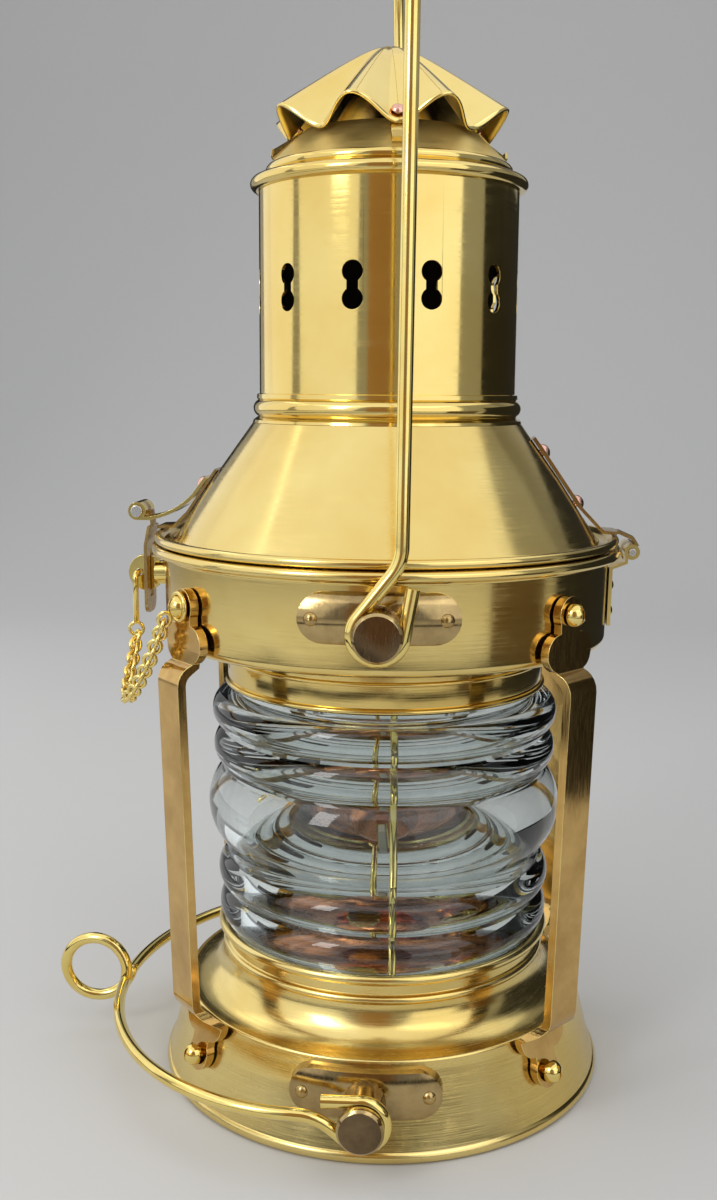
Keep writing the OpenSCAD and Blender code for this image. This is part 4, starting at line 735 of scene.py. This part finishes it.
# %% Straighten the tube's shading and dress it
TUBE_FACING, SOOT_SHADE_FACING = 0.97, 0.9
normals = []
for face in cut_mesh.polygons:
    face.use_smooth = True
    for corner in face.loop_indices:
        at = cut_mesh.vertices[cut_mesh.loops[corner].vertex_index].co
        out = Vector((at.x, at.y, 0)).normalized()
        facing = face.normal.dot(out)
        if facing > TUBE_FACING:
            normals.append(out)
        elif facing < -TUBE_FACING:
            normals.append(-out)
        else:
            normals.append(face.normal.copy())
cut_mesh.normals_split_custom_set(normals)
dress(chimney, spun_brass, "lid", "polished_brass", "chimney")
chimney.data.materials.append(soot_and_shade_black)
# Inward faces get the sooted black, which also paints the shade inside the tube.
for face in cut_mesh.polygons:
    inwards = -Vector((face.center.x, face.center.y, 0)).normalized()
    face.material_index = 1 if face.normal.dot(inwards) > SOOT_SHADE_FACING else 0
print("sooty faces:", sum(face.material_index for face in cut_mesh.polygons))

# %% [markdown]
# ## Cap
# The cap closes the chimney with two beads and a low cone, open in the middle for the smoke. It is spun
# like the rest. A polishing wheel can't reach the cone under the crown, so its faces get a duller
# finish, which also shows it lit where a mirror would only show the dark underside of the crown.

# %% Cap
CAP_LOW = CHIMNEY_TOP - 0.5
CAP_BEAD, STEP_R, STEP_Z, STEP_ROUND = 2.2, CAP_R - 7.3, CAP_LOW + 6.6, 2
SHOULDER_R, SHOULDER_Z = STEP_R + 0.8, CAP_LOW + 8.4
FLUE_R, CAP_SLOPE, PLUG_R = 29, 0.94, CHIMNEY_R - 3.4


def cap_height(r):
    """The height of the cap's cone at a radius."""
    return SHOULDER_Z + CAP_SLOPE * (SHOULDER_R - r)


cap_outline = [(CHIMNEY_R + 0.1, CAP_LOW + 0.3)]
cap_outline += arc(CAP_R - CAP_BEAD, CAP_LOW + CAP_BEAD, CAP_BEAD, -110, 105, 18)
cap_outline += [(CAP_R - 4.2, CAP_LOW + 4.3), (CAP_R - 5.1, CAP_LOW + 4.7)]
cap_outline += arc(STEP_R, STEP_Z, STEP_ROUND, -38, 62, 12) + [(SHOULDER_R, SHOULDER_Z)]
cap_outline += [(FLUE_R + 0.6, cap_height(FLUE_R + 0.6)), (FLUE_R, cap_height(FLUE_R) - 0.4)]
cap_outline += [(FLUE_R, cap_height(FLUE_R) - 1.4), (SHOULDER_R - 2.2, SHOULDER_Z - 1.6)]
cap_outline += [(PLUG_R, CHIMNEY_TOP + 1.2), (PLUG_R, CHIMNEY_TOP + 0.1)]
cap_outline.append((CHIMNEY_R + 0.1, CHIMNEY_TOP + 0.1))
cap = dress(spun("chimney_cap_beads", [cap_outline]), spun_brass, "lid", "polished_brass", "chimney_cap")
cap.data.materials.append(dulled_brass)
for face in cap.data.polygons:
    on_cone = face.center.z > SHOULDER_Z * MM and face.center.xy.length < SHOULDER_R * MM
    if on_cone and face.normal.z > 0.3:
        face.material_index = 1
print("dull faces:", sum(face.material_index for face in cap.data.polygons))

# %% [markdown]
# ## Crown
# The crown is one disc of brass, crimped into flutes so that the smoke leaves under the scallops. Eight
# petals could be modelled and joined, but the flutes run into each other without a seam. So a fan of rings
# is spun flat first, and then each point is lifted or dropped by where it lies between a valley and a
# ridge. Solidify gives the sheet its thickness, and its underside is smoked and painted darker for the
# shade under the crown.

# %% Crown
LOBES, LOBE_STEPS, RINGS, PIN_HOLE = 8, 28, 26, 0.02
CROWN_R, VALLEY_R, CROWN_H, DOME_R = 41, 34.5, 30.5, 8
RIDGE_SHARE, VALLEY_CURVE, CROWN_SHEET = 0.73, 1.6, 0.8
CROWN_TURN, CROWN_TOP = math.radians(8.4), CHIMNEY_TOP + 47


def dome_drop(r):
    """How far a rounded cone has fallen from its top at a radius."""
    return math.sqrt(r * r + DOME_R * DOME_R) - DOME_R


RIDGE_FALL = CROWN_H * RIDGE_SHARE / dome_drop(CROWN_R)
VALLEY_FALL = CROWN_H - RIDGE_FALL * dome_drop(VALLEY_R)
fan = bmesh.new()
spoke = [fan.verts.new((max(i, PIN_HOLE) / RINGS, 0, 0)) for i in range(RINGS + 1)]
spoke_edges = [fan.edges.new(pair) for pair in zip(spoke, spoke[1:])]
bmesh.ops.spin(fan, geom=spoke + spoke_edges, cent=(0, 0, 0), axis=(0, 0, 1), angle=math.tau,
               steps=LOBES * LOBE_STEPS, use_merge=True)
for vert in fan.verts:
    t, a = math.hypot(vert.co.x, vert.co.y), math.atan2(vert.co.y, vert.co.x)
    crest = (1 - math.cos(LOBES * a)) / 2
    r = t * mix(VALLEY_R, CROWN_R, crest)
    height = CROWN_TOP - RIDGE_FALL * dome_drop(r) - VALLEY_FALL * (1 - crest) * t ** VALLEY_CURVE
    vert.co = Vector((r * math.cos(a + CROWN_TURN), r * math.sin(a + CROWN_TURN), height)) * MM
pin_hole = [e for e in fan.edges if e.is_boundary and e.verts[0].co.xy.length < 2 * MM]
bmesh.ops.contextual_create(fan, geom=pin_hole)
bmesh.ops.recalc_face_normals(fan, faces=fan.faces)
if sum(f.normal.z for f in fan.faces) < 0:
    bmesh.ops.reverse_faces(fan, faces=fan.faces)
crown = mesh_object("fluted_crown", fan, smooth_angle=180)
wall = crown.modifiers.new("sheet", "SOLIDIFY")
wall.thickness = CROWN_SHEET * MM
wall.offset = -1
wall.material_offset = 1
dress(crown, spun_brass, "lid", "polished_brass", "crown")
# The underside gets the smoked metal, which also paints the shade under the crown.
crown.data.materials.append(smoked_shaded_brass)
print("crown flutes:", LOBES)

# %% [markdown]
# ## Bails
# Each bail is one length of round wire, bent cold. Cylinders with bends between them would show their
# joins, so a curve with a round bevel follows the bends, and is then made a mesh. The carry bail hooks
# round the upper studs and stands up.


# %% Wire helper
def wire(name, route, diameter, sides=5):
    """A round wire through points in millimetres, as a mesh."""
    curve = bpy.data.curves.new(name, "CURVE")
    curve.dimensions = "3D"
    curve.bevel_depth = diameter / 2 * MM
    curve.bevel_resolution = sides
    curve.use_fill_caps = True
    line = curve.splines.new("POLY")
    line.points.add(len(route) - 1)
    for point, at in zip(line.points, route):
        point.co = (*(Vector(at) * MM), 1)
    bent = bpy.data.objects.new(name + "_line", curve)
    scene.collection.objects.link(bent)
    bpy.context.view_layer.update()
    drawn = bent.evaluated_get(bpy.context.evaluated_depsgraph_get())
    bm = bmesh.new()
    bm.from_mesh(bpy.data.meshes.new_from_object(drawn))
    bpy.data.objects.remove(bent)
    bmesh.ops.remove_doubles(bm, verts=bm.verts, dist=1e-7)
    bmesh.ops.recalc_face_normals(bm, faces=bm.faces)
    print(name, len(bm.faces), "faces")
    return mesh_object(name, bm, smooth_angle=50)


# %% Carry bail
STUD_D, HOOK_SLACK = 10.4, 0.2
BAIL_WIRE, BAIL_Y, BAIL_LEG, LEG_X = 4.4, 91.5, 191, 6.8
HOOK_R = STUD_D / 2 + HOOK_SLACK + BAIL_WIRE / 2
SLANT, TIP_LEAN, TIP_L, BEND_R = 38, 10, 15.3, 14
FRONT_LEAN, REAR_LEAN, UPPER_TURN = 0.45, -1.7, math.radians(2.4)
slant_s, slant_c = math.sin(math.radians(SLANT)), math.cos(math.radians(SLANT))
corner_z = HOOK_R * slant_s + (LEG_X + HOOK_R * slant_c) / slant_s * slant_c
bend_z = corner_z + BEND_R * math.tan(math.radians(SLANT / 2))
tip_s, tip_c = math.sin(math.radians(TIP_LEAN)), math.cos(math.radians(TIP_LEAN))
arm = [(HOOK_R * tip_c + d * tip_s, -HOOK_R * tip_s + d * tip_c) for d in (TIP_L, TIP_L / 2)]
arm += arc(0, 0, HOOK_R, 360 - TIP_LEAN, 180 - SLANT, 40)
arm += arc(LEG_X - BEND_R, bend_z, BEND_R, -SLANT, 0, 10)
arm.append((LEG_X, BAIL_LEG))
arch_angles = [math.radians(a) for a in range(3, 178, 3)]
arch = [(LEG_X, -BAIL_Y * math.cos(a), BAIL_LEG + BAIL_Y * math.sin(a)) for a in arch_angles]


def sprung(point):
    """The bail as it stands: each leg leans a little from its bend up."""
    x, y, z = point
    lean = mix(FRONT_LEAN, REAR_LEAN, (y + BAIL_Y) / 2 / BAIL_Y)
    return Vector((x + max(z - bend_z, 0) * math.tan(math.radians(lean)), y, z))


carry_route = [(x, -BAIL_Y, z) for x, z in arm] + arch + [(x, BAIL_Y, z) for x, z in reversed(arm)]
carry_turn = Matrix.Translation((0, 0, UPPER_STUD_Z)) @ Matrix.Rotation(UPPER_TURN, 4, "Z")
carry_route = [carry_turn @ sprung(point) for point in carry_route]
carry_piece = wire("carry_bail_wire", carry_route, BAIL_WIRE)
dress(carry_piece, wire_brass, "carry_bail", "polished_brass", "carry_bail")

# %% [markdown]
# ## Downhaul bail
# The lower bail hooks round the base studs, rises in an S bend to the level of its bow, runs round the
# left of the foot, and is curled into a finger loop half way. A ring soldered on would be simpler, but
# the wire really goes once round, so one half is worked out, mirrored, and joined by the curl.

# %% Downhaul bail
HAUL_WIRE, HAUL_Y, HAUL_REACH, HAUL_MID, LEVEL = 4.2, 90.5, 97, 20, 2.2
LOOP_R, LOOP_RISE, LOOP_HALF, CURL_STEPS = 12.3, 2.9, 5, 80
HOOK_FROM, HOOK_TO, HAUL_TIP_X, TIP_DROP = 462, 228, -12.5, 0.4
BEND_PULL, RISE_STEPS = 7, 8
BOW_FROM, BOW_TO, BOW_STEPS = 88, 4.5, 40
haul_hook = STUD_D / 2 + HOOK_SLACK + HAUL_WIRE / 2
dip = math.asin(LOOP_RISE / LOOP_R)
hook_s, hook_c = math.sin(math.radians(HOOK_TO)), math.cos(math.radians(HOOK_TO))
rise_from = Vector((haul_hook * hook_c, haul_hook * hook_s))
rise_to = Vector((-HAUL_MID - 1, LEVEL))


def rise(u):
    """The S bend from the hook up to the level of the bow, as a cubic curve."""
    a = rise_from + BEND_PULL * Vector((hook_s, -hook_c))
    b = rise_to + Vector((BEND_PULL, 0))
    v = 1 - u
    return rise_from * v ** 3 + a * 3 * u * v ** 2 + b * 3 * u * u * v + rise_to * u ** 3


def haul_arm(side):
    """One half of the bail, from its tip to the curl."""
    y = side * HAUL_Y
    points = [(HAUL_TIP_X, y, haul_hook - TIP_DROP)]
    points += [(x, y, z) for x, z in arc(0, 0, haul_hook, HOOK_FROM, HOOK_TO, 44)]
    points += [(rise(i / RISE_STEPS)[0], y, rise(i / RISE_STEPS)[1]) for i in range(1, RISE_STEPS)]
    for i in range(BOW_STEPS + 1):
        a = math.radians(mix(BOW_FROM, BOW_TO, i / BOW_STEPS))
        points.append((-HAUL_MID - (HAUL_REACH - HAUL_MID) * math.cos(a), y * math.sin(a), LEVEL))
    return points


curl = []
for i in range(CURL_STEPS + 1):
    u = i / CURL_STEPS
    a = math.tau * u * u * (3 - 2 * u) - dip
    curl.append((-HAUL_REACH + LOOP_R * (math.cos(a) - math.cos(dip)), mix(-LOOP_HALF, LOOP_HALF, u),
                 LEVEL + LOOP_RISE + LOOP_R * math.sin(a)))
haul_route = [(x, y, z + BASE_STUD_Z) for x, y, z in haul_arm(-1) + curl + haul_arm(1)[::-1]]
haul_piece = wire("downhaul_wire", haul_route, HAUL_WIRE)
dress(haul_piece, wire_brass, "downhaul_bail", "polished_brass", "downhaul_bail")

# %% [markdown]
# ## Cast and cut hardware
# The straps, lugs, hinge, hasp and screws keep the shape of their solids, so nothing is modelled anew.
# A copy of each solid's mesh is merged and cleaned, and a small bevel breaks every sharp edge, because a
# filed edge catches the light and a perfect one doesn't. On the straps and lugs the bevels are painted
# paler, a painted highlight, and the end faces of the studs are painted near-black, a painted dark
# reflection.


# %% Hardware helper
def broken_edges(node_name, material, bevel_mm, slot, highlight_material=None, crease=34):
    """A copy of a CAD node with its edges broken, in a paler metal where one is given, which is a painted
    highlight.
    """
    bm = bmesh.new()
    bm.from_mesh(cad[node_name].data)
    bmesh.ops.remove_doubles(bm, verts=bm.verts, dist=2e-6)
    bmesh.ops.dissolve_limit(bm, angle_limit=math.radians(0.8), verts=bm.verts, edges=bm.edges)
    piece = mesh_object(node_name + "_piece", bm, crease)
    if bevel_mm:
        edge = piece.modifiers.new("edge", "BEVEL")
        edge.width = bevel_mm * MM
        edge.segments = 2
        edge.limit_method = "ANGLE"
        edge.angle_limit = math.radians(crease)
        edge.harden_normals = True
        edge.material = 1 if highlight_material else -1
    dress(piece, material, body_of_node[node_name], slot, node_name)
    if highlight_material:
        piece.data.materials.append(highlight_material)
    return piece


# %% Guards and lugs
GUARD_EDGE, LUG_EDGE, END_DEPTH = 0.5, 0.4, 0.5
for corner_name in ("front_left", "front_right", "rear_left", "rear_right"):
    broken_edges("guard_" + corner_name, filed_brass, GUARD_EDGE, "filed_brass", highlight_edge_brass)
for lug_name in ("upper_lug_front", "upper_lug_rear", "base_lug_front", "base_lug_rear"):
    lug = broken_edges(lug_name, cast_brass, LUG_EDGE, "filed_brass", highlight_edge_brass)
    # The end faces of the studs get a near-black metal, a painted dark reflection.
    lug.data.materials.append(dark_reflection_brass)
    reach = max(abs(v.co.y) for v in lug.data.vertices)
    for face in lug.data.polygons:
        if abs(face.normal.y) > 0.95 and abs(face.center.y) > reach - END_DEPTH * MM:
            face.material_index = 2
print("guards and lugs dressed")

# %% Small hardware, font and burner
hardware = (
    ("guard_screws", wire_brass, 0.12, "filed_brass"),
    ("lug_rivets", dull_bronze, 0.1, "dull_bronze"),
    ("leaf_rivets", dull_bronze, 0.1, "dull_bronze"),
    ("strap_rivets", copper, 0.1, "copper"),
    ("crown_rivets", copper, 0.1, "copper"),
    ("hasp_rivet", copper, 0.1, "copper"),
    ("hinge_leaf", spun_brass, 0.2, "dull_bronze"),
    ("hinge_pin", bright_steel, 0.2, "bright_steel"),
    ("lid_strap", dull_bronze, 0.25, "dull_bronze"),
    ("hasp_bracket", dull_bronze, 0.2, "dull_bronze"),
    ("hasp_leaf", wire_brass, 0.2, "polished_brass"),
    ("hasp_pin", bright_steel, 0.3, "bright_steel"),
    ("hasp", dull_bronze, 0.2, "dull_bronze"),
    ("staple", wire_brass, 0.4, "polished_brass"),
    # The tabs take the smoked metal too, with its painted shade under the crown.
    ("crown_tabs", smoked_shaded_brass, 0.15, "polished_brass"),
    ("lock_pin", wire_brass, 0, "polished_brass"),
    ("font", font_copper, 0.3, "copper"),
    ("font_handle", wire_brass, 0, "polished_brass"),
    ("filler_cap", spun_brass, 0.3, "polished_brass"),
    ("burner", font_copper, 0.3, "copper"),
    ("wick_tube", spun_brass, 0.1, "polished_brass"),
    ("wick", cotton, 0.4, "cotton"),
    ("winder", spun_brass, 0.2, "polished_brass"),
    ("base_plate", spun_brass, 0.3, "polished_brass"),
    ("font_seat", spun_brass, 0.2, "polished_brass"),
)
for name, finish, edge_mm, slot in hardware:
    broken_edges(name, finish, edge_mm, slot)
print("small pieces dressed:", len(hardware))

# %% [markdown]
# ## Lock chain
# A short chain keeps the lock pin from getting lost. It hangs in a loop between the ring of the pin and an
# eyelet under the head of the left guard screw. A plain wire could stand for it from afar, but real links
# catch the light: one oval link is bent, then copied along the hanging line, each copy rolled a quarter
# turn from the last.


# %% Chain helpers
CHAIN_START, CHAIN_END = Vector((-89.5, -6, 156.1)), Vector((-68.6, -49.9, 171.2))
CHAIN_SAG, CHAIN_OUT, CHAIN_STEPS = 24, 8, 300
LINK_WIRE, LINK_WIDE, LINK_LONG, LINK_PITCH = 1.5, 1.95, 2.45, 2.75
EYELET_R, EYELET_AWAY, EYELET_ANGLE, SCREW_Z = 4.5, 82.7, math.radians(220), 175.6


def link_shape(name, half_long, half_wide):
    """A closed oval of wire, flat in X and Y, as a mesh to copy."""
    bm = bmesh.new()
    upright = Matrix.Translation((half_wide * MM, 0, 0)) @ Matrix.Rotation(math.pi / 2, 4, "X")
    section = bmesh.ops.create_circle(bm, segments=8, radius=LINK_WIRE / 2 * MM, matrix=upright)
    bmesh.ops.spin(bm, geom=section["verts"] + bm.edges[:], cent=(0, 0, 0), axis=(0, 0, 1), angle=math.tau,
                   steps=20, use_merge=True)
    for vert in bm.verts:
        vert.co.x += (half_long - half_wide) * MM * vert.co.x / vert.co.xy.length
    bmesh.ops.recalc_face_normals(bm, faces=bm.faces)
    mesh = bpy.data.meshes.new(name)
    bm.to_mesh(mesh)
    bm.free()
    return mesh


def chain_point(s):
    """The hanging line from the pin's ring to the eyelet, held a little away from the band."""
    point = CHAIN_START.lerp(CHAIN_END, s)
    away = Vector((point.x, point.y, 0)).normalized()
    return point + away * CHAIN_OUT * math.sin(math.pi * s) - Vector((0, 0, CHAIN_SAG * 4 * s * (1 - s)))


def add_copy(bm, mesh, matrix):
    """Adds a mesh to a bmesh, moved by a matrix."""
    before = len(bm.verts)
    bm.from_mesh(mesh)
    bm.verts.ensure_lookup_table()
    bmesh.ops.transform(bm, matrix=matrix, verts=bm.verts[before:])


# %% Lock chain
line = [chain_point(i / CHAIN_STEPS) for i in range(CHAIN_STEPS + 1)]
gone, links = 0.0, [0]
for i in range(1, len(line)):
    gone += (line[i] - line[i - 1]).length
    if gone >= LINK_PITCH * len(links):
        links.append(i)
chain = bmesh.new()
link = link_shape("link", LINK_LONG, LINK_WIDE)
for k, i in enumerate(links):
    along = (line[min(i + 1, CHAIN_STEPS)] - line[max(i - 1, 0)]).normalized()
    heading = along.to_track_quat("X", "Z").to_matrix().to_4x4()
    roll = Matrix.Rotation(math.radians(45 + 90 * (k % 2)), 4, "X")
    add_copy(chain, link, Matrix.Translation(line[i] * MM) @ heading @ roll)
eyelet_out = Vector((math.cos(EYELET_ANGLE), math.sin(EYELET_ANGLE), 0))
eyelet_at = Matrix.Translation((eyelet_out * EYELET_AWAY + Vector((0, 0, SCREW_Z))) * MM)
eyelet_turn = eyelet_out.to_track_quat("Z", "Y").to_matrix().to_4x4()
add_copy(chain, link_shape("eyelet", EYELET_R, EYELET_R), eyelet_at @ eyelet_turn)
chain_piece = mesh_object("lock_chain_links", chain, smooth_angle=60)
chain_piece.data.materials.append(wire_brass)
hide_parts("lock_chain")
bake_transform(chain_piece)
print("chain links:", len(links))
